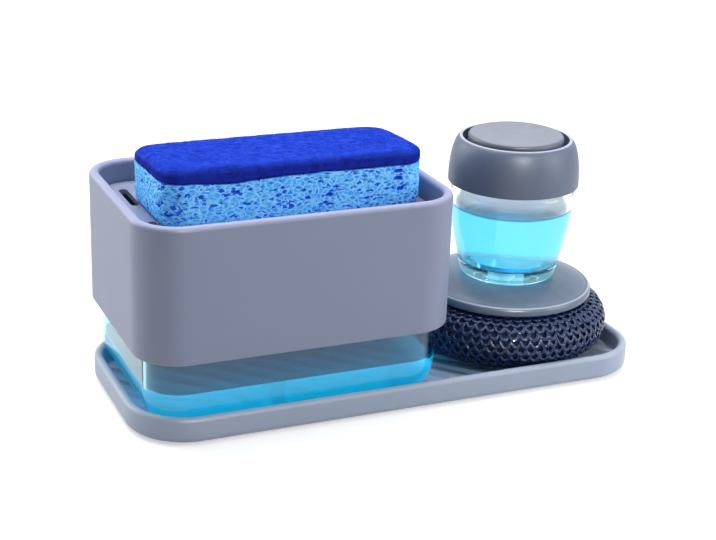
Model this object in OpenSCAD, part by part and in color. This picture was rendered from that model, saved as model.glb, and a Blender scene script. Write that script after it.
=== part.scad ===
// Soap pump caddy: a press-top soap dispenser that carries a sponge, and a soap-filled
// palm scrubber with a knitted scouring pad, both standing in one drip tray.
// The origin is the centre of the tray's footprint, at the level it stands on.
// +X runs along the tray to the scrubber, +Y to the back and +Z up.

/* [Drip tray] */
// Thickness of the tray's wall, whose top edge is a full round
tray_wall = 4; // [3:0.1:5]
// Height of the tray's rim above its underside
tray_h = 11.7; // [9:0.1:15]
// Outer corner radius of the tray
tray_corner_r = 27; // [20:0.5:32]
// Thickness of the tray's floor
tray_floor = 2.4; // [2:0.1:3.2]
// Radius of the tray's lower outer edge
tray_edge_r = 3; // [2:0.1:3.5]
// Height of the drain ridges above the floor
ridge_h = 1.6; // [1:0.1:2.4]
// Width of a drain ridge at its flat top
ridge_top_w = 3; // [2:0.1:3.6]
// Width of a drain ridge at its foot
ridge_foot_w = 5; // [4:0.1:6]
// Distance from ridge to ridge
ridge_pitch = 10; // [8:0.5:14]
// Height of the rubber feet below the tray
foot_h = 0.8; // [0.5:0.1:1.4]
// Radius of a rubber foot
foot_r = 6; // [4:0.1:8]
// Depth of the pocket that a foot is glued into
foot_pocket = 0.8; // [0.4:0.1:1.2]

/* [Soap tank] */
// Height of the clear tank
tank_h = 48.2; // [44:0.2:56]
// Wall of the tank
tank_wall = 2.2; // [1.6:0.1:3]
// Floor of the tank
tank_floor = 2.5; // [2:0.1:3.5]
// Radius of the tank's lower outer edge
tank_edge_r = 13; // [8:0.5:13]
// Depth of the soap in the tank
soap_depth = 14.2; // [10:0.2:24]
// Thickness of the seal on the tank's rim
seal_t = 2; // [1.2:0.1:3]

/* [Pump housing] */
// Length of the housing
housing_l = 144; // [136:1:156]
// Width of the housing
housing_w = 103; // [96:1:112]
// Outer corner radius of the housing
housing_corner_r = 20; // [19:0.5:26]
// Thickness of the housing's wall round the sponge recess, whose top edge is a full round
rim_wall = 4.5; // [3.6:0.1:5.4]
// Thickness of the skirt that hangs over the tank
skirt_wall = 2.6; // [2:0.1:3.2]
// How far the skirt reaches down over the tank
skirt_overlap = 15.6; // [10:0.2:20]
// Radius of the skirt's lower outer edge
skirt_edge_r = 0.8; // [0.4:0.1:1.2]
// Thickness of the deck over the tank
deck_t = 2.5; // [2:0.1:3.5]
// Thickness of the ribs under the deck
rib_t = 1.6; // [1.2:0.1:2.4]
// Depth of the ribs under the deck
rib_depth = 3; // [2:0.1:4]
// Height of the neck that holds the pump
neck_h = 4.5; // [3.5:0.1:6]
// Wall of the neck
neck_wall = 2.5; // [2:0.1:3.5]

/* [Press plate] */
// Depth of the recess from the housing's rim to the press plate
recess_depth = 10.1; // [7:0.1:14]
// Thickness of the press plate
plate_t = 2.4; // [2:0.1:3.2]
// Depth of the skirt under the press plate's edge
plate_skirt_h = 14; // [8:0.5:16]
// Thickness of that skirt and of the ribs under the plate
plate_wall = 1.6; // [1.2:0.1:2.2]
// Radius of the press plate's upper edge
plate_edge_r = 1; // [0.6:0.1:1.5]
// Depth of the boss that takes the pump's stem
boss_h = 8; // [7:0.2:11]
// Wall of that boss
boss_wall = 2.5; // [1.8:0.1:3.5]
// Length of a drain slot
slot_l = 24; // [14:0.5:28]
// Width of a drain slot
slot_w = 4; // [3:0.1:5]
// Number of drain slots in each quarter of the plate
slot_count = 3; // [1:1:4]
// Distance from slot to slot
slot_pitch = 8; // [7:0.2:9]
// Distance of the outermost slot from the plate's end
slot_end = 10; // [8:0.5:14]
// Radius of the soap outlet in the plate
nozzle_r = 1.5; // [1:0.1:2]
// Radius of the shallow dish round the soap outlet
dish_r = 12; // [8:0.5:16]
// Depth of that dish
dish_depth = 0.6; // [0.3:0.1:1]

/* [Pump] */
// How far the press plate travels
stroke = 9; // [6:0.5:11]
// Bore radius of the pump barrel
barrel_bore_r = 8.2; // [7.4:0.1:9]
// Wall of the pump barrel
barrel_wall = 1.5; // [1.2:0.1:2]
// Depth of the barrel's floor below its flange
barrel_depth = 40.4; // [38:0.2:46]
// Thickness of the barrel's floor
barrel_floor = 4.6; // [4:0.1:6]
// Thickness of the barrel's flange
flange_t = 1.5; // [1:0.1:2]
// Thickness of the gasket under the flange
gasket_t = 1; // [0.6:0.1:1.6]
// Outer radius of the collar
collar_r = 15; // [14.6:0.1:17]
// Thickness of the collar's top
collar_top_t = 2; // [1.5:0.1:3]
// Number of grip flutes round the collar
flute_count = 18; // [12:1:24]
// Radius of a grip flute
flute_r = 1; // [0.6:0.1:1.2]
// Clear height left over the collar when the plate is pressed down
press_clear = 1.5; // [1:0.1:3]
// Height of the piston
piston_h = 7; // [5:0.1:9]
// Height of each of the piston's lips
lip_h = 1.5; // [1:0.1:2]
// Depth of the piston's waist between its lips
waist_depth = 1; // [0.6:0.1:1.5]
// Thickness of the piston under the stem
piston_base = 2; // [1.5:0.1:3]
// Outer radius of the hollow stem
stem_r = 4; // [3.6:0.1:4.4]
// Bore radius of the hollow stem
stem_bore_r = 1.7; // [1.4:0.1:1.9]
// Depth that the stem reaches into the plate's boss
stem_socket = 7; // [5:0.2:7.4]
// Length of the outlet ball's chamber in the stem
chamber_l = 9; // [7:0.2:12]
// Radius of the check balls
ball_r = 2.2; // [2.05:0.05:2.3]
// How far a check ball lifts
ball_lift = 1.5; // [1:0.1:1.8]
// Room round a check ball in its chamber
ball_room = 0.4; // [0.3:0.05:0.5]
// Bore radius of the barrel's inlet under its check ball
inlet_r = 1.6; // [1.3:0.1:1.8]
// Length of the nipple that the dip tube fits over
nipple_h = 4.5; // [3:0.1:6]
// Bore radius of the dip tube
dip_bore_r = 2.65; // [2.4:0.05:2.8]
// Wall of the dip tube
dip_wall = 0.8; // [0.6:0.1:1.2]
// Height of the dip tube's end above the tank's floor
dip_end = 2; // [1:0.1:4]
// Length of the pump's spring when the plate is pressed down
pump_spring_closed = 8.4; // [7.5:0.1:10]
// Wire radius of the pump's spring
pump_wire_r = 0.45; // [0.35:0.05:0.5]
// Number of curls of the pump's spring
pump_curls = 5; // [4:1:6]

/* [Sponge] */
// Length of the sponge
sponge_l = 120; // [100:1:124]
// Width of the sponge
sponge_w = 52; // [44:1:72]
// Height of the cellulose body
sponge_h = 19; // [14:0.5:26]
// Thickness of the scouring layer on it
pad_t = 7; // [4:0.5:9]
// Corner radius of the sponge
sponge_corner_r = 10; // [6:0.5:16]
// Rounding of the sponge's upper and lower edges
sponge_edge_r = 1.6; // [0.8:0.1:2]
// How far the sponge lies off the middle of the plate
sponge_shift = 4; // [0:0.5:5]

/* [Scrubber bottle] */
// Radius of the bottle's base
base_r = 23; // [21:0.5:25]
// Radius of the bottle at its shoulder
shoulder_r = 29.2; // [28:0.2:32]
// Rounding of the bottle's lower edge
heel_r = 3; // [1.5:0.1:4]
// Height of the bottle below its neck
bottle_h = 44.9; // [40:0.1:52]
// Height of the rounded shoulder
shoulder_h = 3.4; // [2.5:0.1:4.5]
// Outer radius of the bottle's neck
bottle_neck_r = 26; // [25:0.1:26.6]
// Height of the bottle's neck
bottle_neck_h = 10; // [9.8:0.1:13]
// Wall of the bottle
bottle_wall = 2.2; // [1.8:0.1:2.8]
// Thickness of the bottle's solid base
base_t = 6.2; // [5:0.2:9]
// Fillet where the bottle's inside meets its base
base_fillet_r = 4; // [2:0.2:5]
// Height of the soap in the bottle
bottle_soap_h = 28.6; // [20:0.2:34]
// Radius of the spigot under the bottle
spigot_r = 11; // [9:0.2:12]
// Length of the spigot
spigot_h = 14.4; // [12:0.2:15]
// Bore radius of the spigot
spigot_bore_r = 8.4; // [7:0.1:9]
// Radius of the outlet valve's flange
valve_r = 12.6; // [11:0.1:14]
// Thickness of the outlet valve's flange
valve_t = 1.6; // [1:0.1:2.2]
// Depth of the outlet valve's beak
beak_h = 8; // [5:0.5:10]
// Radius of the outlet valve's beak at its tip
beak_tip_r = 2.4; // [1.6:0.1:3]

/* [Scrubber cap] */
// Radius of the cap at its lower edge
cap_r = 30.7; // [30:0.1:33]
// Radius of the cap at its rim
cap_rim_r = 25.8; // [25.5:0.1:26.5]
// Radius of the well that the button sits in
well_r = 24.9; // [24.2:0.1:25.2]
// Depth of that well
well_depth = 8.5; // [8.4:0.1:11]
// Thickness of the cap's inner floor
cap_floor = 2; // [1.6:0.1:3]
// Thickness of the cap's gasket
cap_gasket_t = 1; // [0.6:0.1:1.6]
// Gap between the cap's lower edge and the bottle's shoulder
cap_gap = 0.4; // [0.3:0.1:1]
// Bore radius of the air cylinder under the button
air_bore_r = 17; // [15:0.1:17.6]
// Wall of the air cylinder
air_wall = 1.6; // [1.2:0.1:2]
// Depth of the air cylinder below the cap's inner floor
air_depth = 9; // [8.6:0.1:10]
// Thickness of the air cylinder's floor
air_floor = 1.6; // [1.2:0.1:2]
// Radius of the push button
button_r = 22.3; // [21.4:0.1:23]
// Thickness of the push button's top
button_t = 2; // [1.6:0.1:2.6]
// Radius of the push button's upper edge
button_edge_r = 1.5; // [0.8:0.1:1.6]
// How far the button stands above the cap's rim
button_proud = 1.7; // [0.5:0.1:3]
// Depth of the button's outer skirt
button_skirt = 2.9; // [2:0.1:3]
// Wall of the button's skirt
button_wall = 1.6; // [1.2:0.1:2]
// How far the button travels
button_travel = 5; // [3:0.1:5.2]
// Outer radius of the button's plunger
plunger_r = 15; // [13:0.1:15.4]
// Wall of the button's plunger
plunger_wall = 2; // [1.4:0.1:2.6]
// Thickness of the air piston
air_piston_t = 2.8; // [2:0.1:3]
// Radius of the umbrella valve
umbrella_r = 5; // [4:0.1:7]
// Thickness of the umbrella valve
umbrella_t = 0.8; // [0.6:0.1:1.2]
// Radius of the umbrella valve's stalk
stalk_r = 1.2; // [0.9:0.1:1.5]
// Height of the bulb that holds the umbrella valve's stalk
bulb_h = 0.4; // [0.3:0.05:0.6]
// Wire radius of the button's spring
button_wire_r = 0.5; // [0.35:0.05:0.5]
// Number of curls of the button's spring
button_curls = 2; // [2:1:3]

/* [Scouring pad] */
// Radius of the knitted pad at its belly
mesh_r = 48.6; // [45:0.2:51]
// Height of the knitted pad
mesh_h = 27.5; // [22:0.5:32]
// Radius of the roll that forms the pad's edge
roll_r = 16.6; // [14:0.1:18]
// Rows of loops round the roll
mesh_rows = 11; // [8:1:14]
// Height of a row of loops above the roll
row_h = 0.5; // [0.3:0.1:0.8]
// Radius of the gathered dimple under the pad
dimple_r = 6; // [4:0.2:8]
// Depth of that dimple
dimple_depth = 3; // [2:0.2:5]
// Radius of the disc that holds the pad
disc_r = 40.6; // [38:0.2:43]
// Thickness of that disc at its rim
disc_t = 4.4; // [4:0.1:6]
// How far the disc's crown rises from its rim to the bottle
disc_crown = 3.7; // [1:0.1:5]
// Radius of the disc's upper edge
disc_edge_r = 2.5; // [1.5:0.1:3]
// Radius of the disc's lower edge
disc_low_r = 1; // [0.5:0.1:1]
// Outer radius of the clamp nut under the disc
nut_r = 15.5; // [14.5:0.1:18]
// Height of the clamp nut
nut_h = 8.3; // [7.8:0.1:10]
// Thickness of the clamp nut's floor
nut_floor = 1.6; // [1.2:0.1:2]
// Radius of the outlet in the clamp nut
outlet_r = 4; // [3:0.1:6]

/* [Clearances] */
// Gap between the tank and the tray's wall along the sides
tray_gap = 0.5; // [0.4:0.1:1]
// Gap between the tank and the tray's end wall
end_gap = 2; // [1:0.1:4]
// Gap between the tank's corners and the tray's, at the top of the tray's wall
corner_gap = 0.7; // [0.6:0.1:1.5]
// Gap between the tank and the scouring pad
stand_gap = 8.6; // [6:0.2:14]
// Gap between the scouring pad and the tray's end wall
pad_gap = 0.8; // [0.6:0.1:2]
// Gap between the tank and the housing's skirt
skirt_gap = 1.9; // [1:0.1:2.4]
// Gap round the press plate
plate_gap = 0.5; // [0.4:0.05:0.8]
// Gap round screwed and pushed-on parts
screw_gap = 0.3; // [0.3:0.05:0.4]
// Gap round parts that are pressed together
push_gap = 0.05; // [0.03:0.01:0.1]
// Running gap of a piston in its bore
piston_gap = 0.08; // [0.04:0.01:0.1]
// Gap between the soap and the walls that hold it
soap_gap = 0.2; // [0.1:0.05:0.3]
// Gap between the soap and the pump that dips into it
dip_gap = 0.4; // [0.3:0.05:0.6]
// Gap under a soft or loose part that lies on another
rest_gap = 0.3; // [0.2:0.05:0.4]
// Overrun of every cut
overrun = 1; // [0.5:0.1:2]

/* [Hidden] */
$fn = 72;

// Colours
slate = [0.47, 0.50, 0.60];
pale_slate = [0.60, 0.64, 0.72];
dark_slate = [0.36, 0.41, 0.49];
mist = [0.70, 0.72, 0.80];
clear = [0.80, 0.90, 0.95, 0.35];
soap_blue = [0.14, 0.70, 0.92, 0.80];
soap_cyan = [0.45, 0.92, 1.00, 0.80];
silicone = [0.80, 0.84, 0.88];
steel = [0.72, 0.73, 0.75];
rubber = [0.16, 0.17, 0.20];
sky = [0.35, 0.68, 0.98];
royal = [0.12, 0.24, 0.80];
navy = [0.10, 0.16, 0.30];

// Lengths and widths that follow from the housing and the pad
tank_l = housing_l - 2 * (skirt_wall + skirt_gap);
tank_w = housing_w - 2 * (skirt_wall + skirt_gap);
recess_l = housing_l - 2 * rim_wall;
recess_w = housing_w - 2 * rim_wall;
recess_corner_r = housing_corner_r - rim_wall;
plate_l = recess_l - 2 * plate_gap;
plate_w = recess_w - 2 * plate_gap;
plate_corner_r = recess_corner_r - plate_gap;
roll_x = mesh_r - roll_r;
roll_power = 2.2;
wall_top_z = foot_h + tray_h - tray_wall / 2;
wall_rise = wall_top_z - foot_h - tray_floor - ridge_h;
seat_share = 1 - 2 * wall_rise / mesh_h;
seat_r = roll_x + roll_r * pow(1 - pow(seat_share, roll_power), 1 / roll_power);
tank_inset = tank_edge_r
    - sqrt(tank_edge_r * tank_edge_r - pow(max(0, tank_edge_r - wall_rise), 2));
tray_in_l = end_gap + tank_l + stand_gap + 2 * seat_r + pad_gap;
tray_in_w = max(tank_w - 2 * tank_inset + 2 * tray_gap, 2 * (seat_r + pad_gap));
tray_l = tray_in_l + 2 * tray_wall;
tray_w = tray_in_w + 2 * tray_wall;
dispenser_x = end_gap + tank_l / 2 - tray_in_l / 2;
scrubber_x = tray_in_l / 2 - pad_gap - seat_r;

// The tank's corners follow the skirt's, or the tray's where these ask for rounder ones
side_gap = (tray_in_w - tank_w) / 2;
corner_room = tank_inset - corner_gap;
corner_sum = end_gap + side_gap + corner_room;
corner_step = corner_sum
    + sqrt(max(0, corner_sum * corner_sum - end_gap * end_gap - side_gap * side_gap
        + corner_room * corner_room));
tank_corner_r = max(housing_corner_r - skirt_wall - skirt_gap,
    tray_corner_r - tray_wall - corner_step);

// Levels of the tray and the dispenser
floor_z = foot_h + tray_floor;
ridge_z = floor_z + ridge_h;
tank_z = ridge_z;
tank_in_z = tank_z + tank_floor;
tank_top = tank_z + tank_h;
soap_z = tank_in_z + soap_depth;
skirt_z = tank_top - skirt_overlap;
deck_z = tank_top + seal_t;
deck_top = deck_z + deck_t;
neck_top = deck_top + neck_h;
flange_z = neck_top + gasket_t;
flange_top = flange_z + flange_t;
collar_top = flange_top + collar_top_t;
boss_z = collar_top + press_clear + stroke;
plate_under = boss_z + boss_h;
plate_top = plate_under + plate_t;
rim_top = plate_top + recess_depth;

// Sizes and levels of the pump
barrel_r = barrel_bore_r + barrel_wall;
hole_r = barrel_r + screw_gap;
neck_r = hole_r + neck_wall;
barrel_in_z = flange_z - barrel_depth;
nose_z = barrel_in_z - barrel_floor;
nose_share = 0.6;
nose_r = barrel_r * nose_share;
cone_share = 0.6;
cone_z = nose_z + barrel_floor * cone_share;
nipple_z = nose_z - nipple_h;
nipple_r = dip_bore_r - push_gap;
dip_r = dip_bore_r + dip_wall;
dip_z = tank_in_z + dip_end;
ball_chamber_r = ball_r + ball_room;
inlet_ball_rise = sqrt(ball_r * ball_r - inlet_r * inlet_r) + rest_gap;
inlet_chamber = inlet_ball_rise + ball_lift + ball_room;
inlet_seat_z = barrel_in_z - inlet_chamber;
inlet_ball_z = inlet_seat_z + inlet_ball_rise;
piston_r = barrel_bore_r - piston_gap;
piston_z = barrel_in_z + pump_spring_closed + stroke;
stem_z = piston_z + piston_base;
stem_top = boss_z + stem_socket;
stem_hole_r = stem_r + screw_gap;
outlet_seat_z = stem_top - chamber_l;
outlet_ball_z = outlet_seat_z + sqrt(ball_r * ball_r - stem_bore_r * stem_bore_r) + rest_gap;
pump_spring_r = (barrel_bore_r + ball_chamber_r) / 2 + pump_wire_r;

// Place of the sponge
sponge_x = dispenser_x + sponge_shift;
sponge_z = plate_top + rest_gap;
pad_z = sponge_z + sponge_h;
sponge_top = pad_z + pad_t;

// Levels of the scrubber
mesh_z = ridge_z;
disc_z = mesh_z + mesh_h;
disc_rim_z = disc_z + disc_t;
bottle_z = disc_rim_z + disc_crown;
heel_z = bottle_z + heel_r;
bottle_in_z = bottle_z + base_t;
shoulder_z = bottle_z + bottle_h - shoulder_h;
bottle_neck_z = bottle_z + bottle_h;
bottle_top = bottle_neck_z + bottle_neck_h;
bottle_soap_z = bottle_in_z + bottle_soap_h;
spigot_z = bottle_z - spigot_h;
nut_z = disc_z - nut_h;
cap_z = bottle_neck_z + cap_gap;
cap_floor_z = bottle_top + cap_gasket_t;
well_z = cap_floor_z + cap_floor;
cap_top = well_z + well_depth;
button_top = cap_top + button_proud;
button_under = button_top - button_t;
air_z = cap_floor_z - air_depth;
air_in_z = air_z + air_floor;
air_piston_r = air_bore_r - piston_gap;
air_piston_z = air_in_z + bulb_h + rest_gap + button_travel;
air_piston_top = air_piston_z + air_piston_t;
sleeve_r = bottle_neck_r + screw_gap;
button_spring_r = (air_bore_r + button_r - button_wall) / 2;

// Powers and point counts of the curved outlines
bottle_flare_power = 1.75;
cap_rise_power = 2.2;
cap_round_power = 1.8;
disc_crown_power = 1.8;
outline_steps = 16;
ring_sides = 6;
rings_per_curl = 8;

// Quarter disc that rounds a section's outer corner at (x, z); up is 1 for an upper corner.
module quarter_disc(x, z, r, up) {
    intersection() {
        translate([x - r, z - up * r])
            circle(r);
        translate([x - r, up > 0 ? z - r : z])
            square(r);
    }
}

// Solid section from the corner's centre line out to x1, with rounded outer edges.
module solid_section(x1, z0, z1, low_r = 0, top_r = 0) {
    translate([0, z0 + low_r])
        square([x1, z1 - z0 - low_r - top_r]);
    if (low_r > 0) {
        translate([0, z0])
            square([x1 - low_r, low_r]);
        quarter_disc(x1, z0, low_r, -1);
    }
    if (top_r > 0) {
        translate([0, z1 - top_r])
            square([x1 - top_r, top_r]);
        quarter_disc(x1, z1, top_r, 1);
    }
}

// Sweeps a section, drawn from the corner's centre line outwards, round a rounded rectangle.
module rounded_sweep(l, w, r) {
    in_x = l / 2 - r;
    in_y = w / 2 - r;
    for (turn = [0, 180])
        rotate([0, 0, turn]) {
            translate([in_x, in_y, 0])
                rotate_extrude(angle = 90)
                    children();
            translate([-in_x, in_y, 0])
                rotate([0, 0, 90])
                    rotate_extrude(angle = 90)
                        children();
            translate([in_x, in_y, 0])
                rotate([90, 0, 0])
                    linear_extrude(2 * in_y)
                        children();
            translate([-in_x, in_y, 0])
                rotate([90, 0, 90])
                    linear_extrude(2 * in_x)
                        children();
        }
}

// Middle slab that closes a swept section between its four corner centres.
module sweep_core(l, w, r, z0, z1) {
    translate([r - l / 2, r - w / 2, z0])
        cube([l - 2 * r, w - 2 * r, z1 - z0]);
}

// Solid block with rounded corners and rounded lower and upper edges.
module rounded_block(l, w, r, z0, z1, low_r = 0, top_r = 0) {
    rounded_sweep(l, w, r)
        solid_section(r, z0, z1, low_r, top_r);
    sweep_core(l, w, r, z0, z1);
}

// Open tub with a full-round top edge.
module round_rim_tub(l, w, r, z0, z1, wall, floor_t, low_r) {
    rim_r = wall / 2;
    rounded_sweep(l, w, r) {
        difference() {
            solid_section(r, z0, z1 - rim_r, low_r);
            solid_section(r - wall, z0 + floor_t, z1, low_r / 2);
        }
        translate([r - rim_r, z1 - rim_r])
            circle(rim_r);
    }
    sweep_core(l, w, r, z0, z0 + floor_t);
}

// Tube or, with no bore, a rod.
module tube(r, bore_r, z0, z1) {
    translate([0, 0, z0])
        difference() {
            cylinder(r = r, h = z1 - z0);
            if (bore_r > 0)
                translate([0, 0, -overrun])
                    cylinder(r = bore_r, h = z1 - z0 + 2 * overrun);
        }
}

// Slot with round ends along Y.
module slot(x, y, l, w, z0, z1) {
    translate([x, y, z0])
        linear_extrude(z1 - z0) {
            square([w, l - w], center = true);
            for (s = [-1, 1])
                translate([0, s * (l - w) / 2])
                    circle(w / 2);
        }
}

// Centre line of a spring between two seats.
function spring_line(r, wire_r, z0, z1, curls) =
    let (steps = curls * rings_per_curl)
    [for (i = [0 : steps])
        let (a = 360 * i / rings_per_curl)
        [r * cos(a), r * sin(a), z0 + wire_r + (z1 - z0 - 2 * wire_r) * i / steps]];

// Least gap between neighbouring curls of a wound wire, measured on its ring centres.
function least_gap(line, wire_r) =
    min([for (i = [0 : len(line) - 1 - rings_per_curl])
        min([for (j = [i + ceil(rings_per_curl / 2) : len(line) - 1])
            norm(line[i] - line[j])])]) - 2 * wire_r;

// Wound wire as one unbroken tube.
module spring(r, wire_r, z0, z1, curls) {
    line = spring_line(r, wire_r, z0, z1, curls);
    last = len(line) - 1;
    points = [for (i = [0 : last])
        for (k = [0 : ring_sides - 1])
            let (a = 360 * i / rings_per_curl, b = 360 * k / ring_sides)
            line[i] + wire_r * [cos(b) * cos(a), cos(b) * sin(a), sin(b)]];
    sides = [for (i = [0 : last - 1])
        for (k = [0 : ring_sides - 1])
            let (n = (k + 1) % ring_sides, p = i * ring_sides, q = p + ring_sides)
            each [[p + k, p + n, q + n], [p + k, q + n, q + k]]];
    ends = [for (k = [1 : ring_sides - 2])
        each [[0, k + 1, k],
            [last * ring_sides, last * ring_sides + k, last * ring_sides + k + 1]]];
    polyhedron(points, concat(sides, ends));
    echo(least_gap_mm = least_gap(line, wire_r));
}

// Flat-topped drain ridges across the tray's floor, cut to its outline.
module drain_ridges() {
    inset = tray_edge_r / 2;
    l = tray_in_l - 2 * inset;
    w = tray_in_w - 2 * inset;
    r = tray_corner_r - tray_wall - inset;
    reach = (l + w) / 2;
    count = floor(reach / sqrt(2) / ridge_pitch);
    intersection() {
        rounded_block(l, w, r, floor_z - tray_floor / 2, ridge_z);
        for (i = [-count : count])
            rotate([0, 0, -45])
                translate([-reach, i * ridge_pitch, floor_z])
                    rotate([90, 0, 90])
                        linear_extrude(2 * reach)
                            polygon([[-ridge_foot_w / 2, -tray_floor / 2],
                                [ridge_foot_w / 2, -tray_floor / 2],
                                [ridge_foot_w / 2, 0], [ridge_top_w / 2, ridge_h],
                                [-ridge_top_w / 2, ridge_h], [-ridge_foot_w / 2, 0]]);
    }
}

// Places its children where the four feet are.
module at_feet() {
    for (sx = [-1, 1], sy = [-1, 1])
        translate([sx * (tray_l / 2 - tray_corner_r), sy * (tray_w / 2 - tray_corner_r), 0])
            children();
}

module drip_tray() {
    color(pale_slate)
        difference() {
            union() {
                round_rim_tub(tray_l, tray_w, tray_corner_r, foot_h, foot_h + tray_h,
                    tray_wall, tray_floor, tray_edge_r);
                drain_ridges();
            }
            at_feet()
                tube(foot_r + push_gap, 0, foot_h - overrun, foot_h + foot_pocket);
        }
}

module tray_feet() {
    color(rubber)
        at_feet()
            tube(foot_r, 0, 0, foot_h + foot_pocket);
}

module soap_tank() {
    in_r = tank_corner_r - tank_wall;
    color(clear)
        translate([dispenser_x, 0, 0]) {
            rounded_sweep(tank_l, tank_w, tank_corner_r)
                difference() {
                    solid_section(tank_corner_r, tank_z, tank_top, tank_edge_r);
                    solid_section(in_r, tank_in_z, tank_top + overrun,
                        tank_edge_r - tank_wall);
                }
            sweep_core(tank_l, tank_w, tank_corner_r, tank_z, tank_in_z);
        }
}

// Soap in the tank, with room for the pump's nose and dip tube.
module tank_soap() {
    shrink = tank_wall + soap_gap;
    color(soap_blue)
        translate([dispenser_x, 0, 0])
            difference() {
                rounded_block(tank_l - 2 * shrink, tank_w - 2 * shrink,
                    tank_corner_r - shrink, tank_in_z, soap_z, tank_edge_r - shrink);
                tube(dip_r + dip_gap, 0, tank_in_z - overrun, soap_z + overrun);
                tube(barrel_r + dip_gap, 0, nose_z - dip_gap, flange_z);
            }
}

// Wall of the housing: skirt over the tank, ledge on its seal, recess for the sponge.
module housing_section() {
    r = housing_corner_r;
    difference() {
        solid_section(r, skirt_z, rim_top - rim_wall / 2, skirt_edge_r);
        translate([0, skirt_z - overrun])
            square([r - skirt_wall, deck_z - skirt_z + overrun]);
        translate([0, deck_top])
            square([recess_corner_r, rim_top - deck_top]);
    }
    translate([r - rim_wall / 2, rim_top - rim_wall / 2])
        circle(rim_wall / 2);
}

// Ribs under the deck, inside the tank's mouth.
module deck_ribs() {
    l = tank_l - 2 * (tank_wall + skirt_gap);
    w = tank_w - 2 * (tank_wall + skirt_gap);
    for (s = [-1, 1]) {
        translate([-l / 2, s * w / 4 - rib_t / 2, deck_z - rib_depth])
            cube([l, rib_t, rib_depth]);
        translate([s * l / 4 - rib_t / 2, -w / 2, deck_z - rib_depth])
            cube([rib_t, w, rib_depth]);
    }
}

module pump_housing() {
    color(slate)
        translate([dispenser_x, 0, 0])
            difference() {
                union() {
                    rounded_sweep(housing_l, housing_w, housing_corner_r)
                        housing_section();
                    sweep_core(housing_l, housing_w, housing_corner_r, deck_z, deck_top);
                    deck_ribs();
                    tube(neck_r, 0, deck_z, neck_top);
                }
                tube(hole_r, 0, deck_z - overrun, neck_top + overrun);
            }
}

module tank_seal() {
    color(silicone)
        translate([dispenser_x, 0, 0])
            rounded_sweep(tank_l, tank_w, tank_corner_r)
                translate([tank_corner_r - tank_wall, tank_top])
                    square([tank_wall, seal_t]);
}

// Barrel: flanged cylinder, coned nose, ball chamber and nipple for the dip tube.
module pump_barrel() {
    color(clear)
        translate([dispenser_x, 0, 0])
            rotate_extrude()
                difference() {
                    polygon([[0, nipple_z], [nipple_r, nipple_z], [nipple_r, nose_z],
                        [nose_r, nose_z], [barrel_r, cone_z], [barrel_r, flange_z],
                        [neck_r, flange_z], [neck_r, flange_top], [0, flange_top]]);
                    translate([0, barrel_in_z])
                        square([barrel_bore_r, flange_top - barrel_in_z + overrun]);
                    translate([0, inlet_seat_z])
                        square([ball_chamber_r, inlet_chamber + overrun]);
                    translate([0, nipple_z - overrun])
                        square([inlet_r, inlet_seat_z - nipple_z + 2 * overrun]);
                }
}

module barrel_gasket() {
    color(silicone)
        translate([dispenser_x, 0, 0])
            tube(neck_r, hole_r, neck_top, flange_z);
}

// Screw collar that holds the barrel down on the neck.
module pump_collar() {
    low_z = deck_top + screw_gap;
    color(mist)
        translate([dispenser_x, 0, 0])
            difference() {
                tube(collar_r, 0, low_z, collar_top);
                tube(neck_r + screw_gap, 0, low_z - overrun, flange_top);
                tube(stem_hole_r, 0, flange_top - overrun, collar_top + overrun);
                for (i = [0 : flute_count - 1])
                    rotate([0, 0, 360 * i / flute_count])
                        translate([collar_r + flute_r / 2, 0, 0])
                            tube(flute_r, 0, low_z - overrun, collar_top + overrun);
            }
}

// Dip tube, notched at its end so that it can't seal itself on the tank's floor.
module dip_tube() {
    color(clear)
        translate([dispenser_x, 0, 0])
            difference() {
                tube(dip_r, dip_bore_r, dip_z, nose_z);
                translate([-dip_bore_r / 2, -dip_r - overrun, dip_z - overrun])
                    cube([dip_bore_r, 2 * (dip_r + overrun), dip_wall + overrun]);
            }
}

module pump_spring() {
    color(steel)
        translate([dispenser_x, 0, 0])
            spring(pump_spring_r, pump_wire_r, barrel_in_z + push_gap, piston_z - push_gap,
                pump_curls);
}

// Piston with an upper and a lower lip.
module pump_piston() {
    color(silicone)
        translate([dispenser_x, 0, 0])
            rotate_extrude()
                difference() {
                    translate([stem_bore_r, piston_z])
                        square([piston_r - stem_bore_r, piston_h]);
                    translate([piston_r - waist_depth, piston_z + lip_h])
                        square([waist_depth + overrun, piston_h - 2 * lip_h]);
                    translate([0, stem_z])
                        square([stem_r + push_gap, piston_h]);
                }
}

// Hollow stem with the outlet ball's chamber at its top.
module pump_stem() {
    color(mist)
        translate([dispenser_x, 0, 0])
            difference() {
                tube(stem_r, stem_bore_r, stem_z, stem_top);
                tube(ball_chamber_r, 0, outlet_seat_z, stem_top + overrun);
            }
}

module inlet_ball() {
    color(steel)
        translate([dispenser_x, 0, inlet_ball_z])
            sphere(ball_r);
}

module outlet_ball() {
    color(steel)
        translate([dispenser_x, 0, outlet_ball_z])
            sphere(ball_r);
}

// Drain slots, mirrored into the four quarters of the plate.
module drain_slots() {
    for (sx = [-1, 1], sy = [-1, 1], i = [0 : slot_count - 1])
        slot(sx * (plate_l / 2 - slot_end - i * slot_pitch), sy * plate_w / 4, slot_l, slot_w,
            plate_under - overrun, plate_top + overrun);
}

// Stiffening ribs under the plate.
module plate_ribs() {
    depth = boss_h * 0.6;
    l = plate_l - plate_wall;
    w = plate_w - plate_wall;
    translate([-l / 2, -plate_wall / 2, plate_under - depth])
        cube([l, plate_wall, depth]);
    for (s = [-1, 1])
        translate([s * plate_l / 5 - plate_wall / 2, -w / 2, plate_under - depth])
            cube([plate_wall, w, depth]);
}

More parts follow.
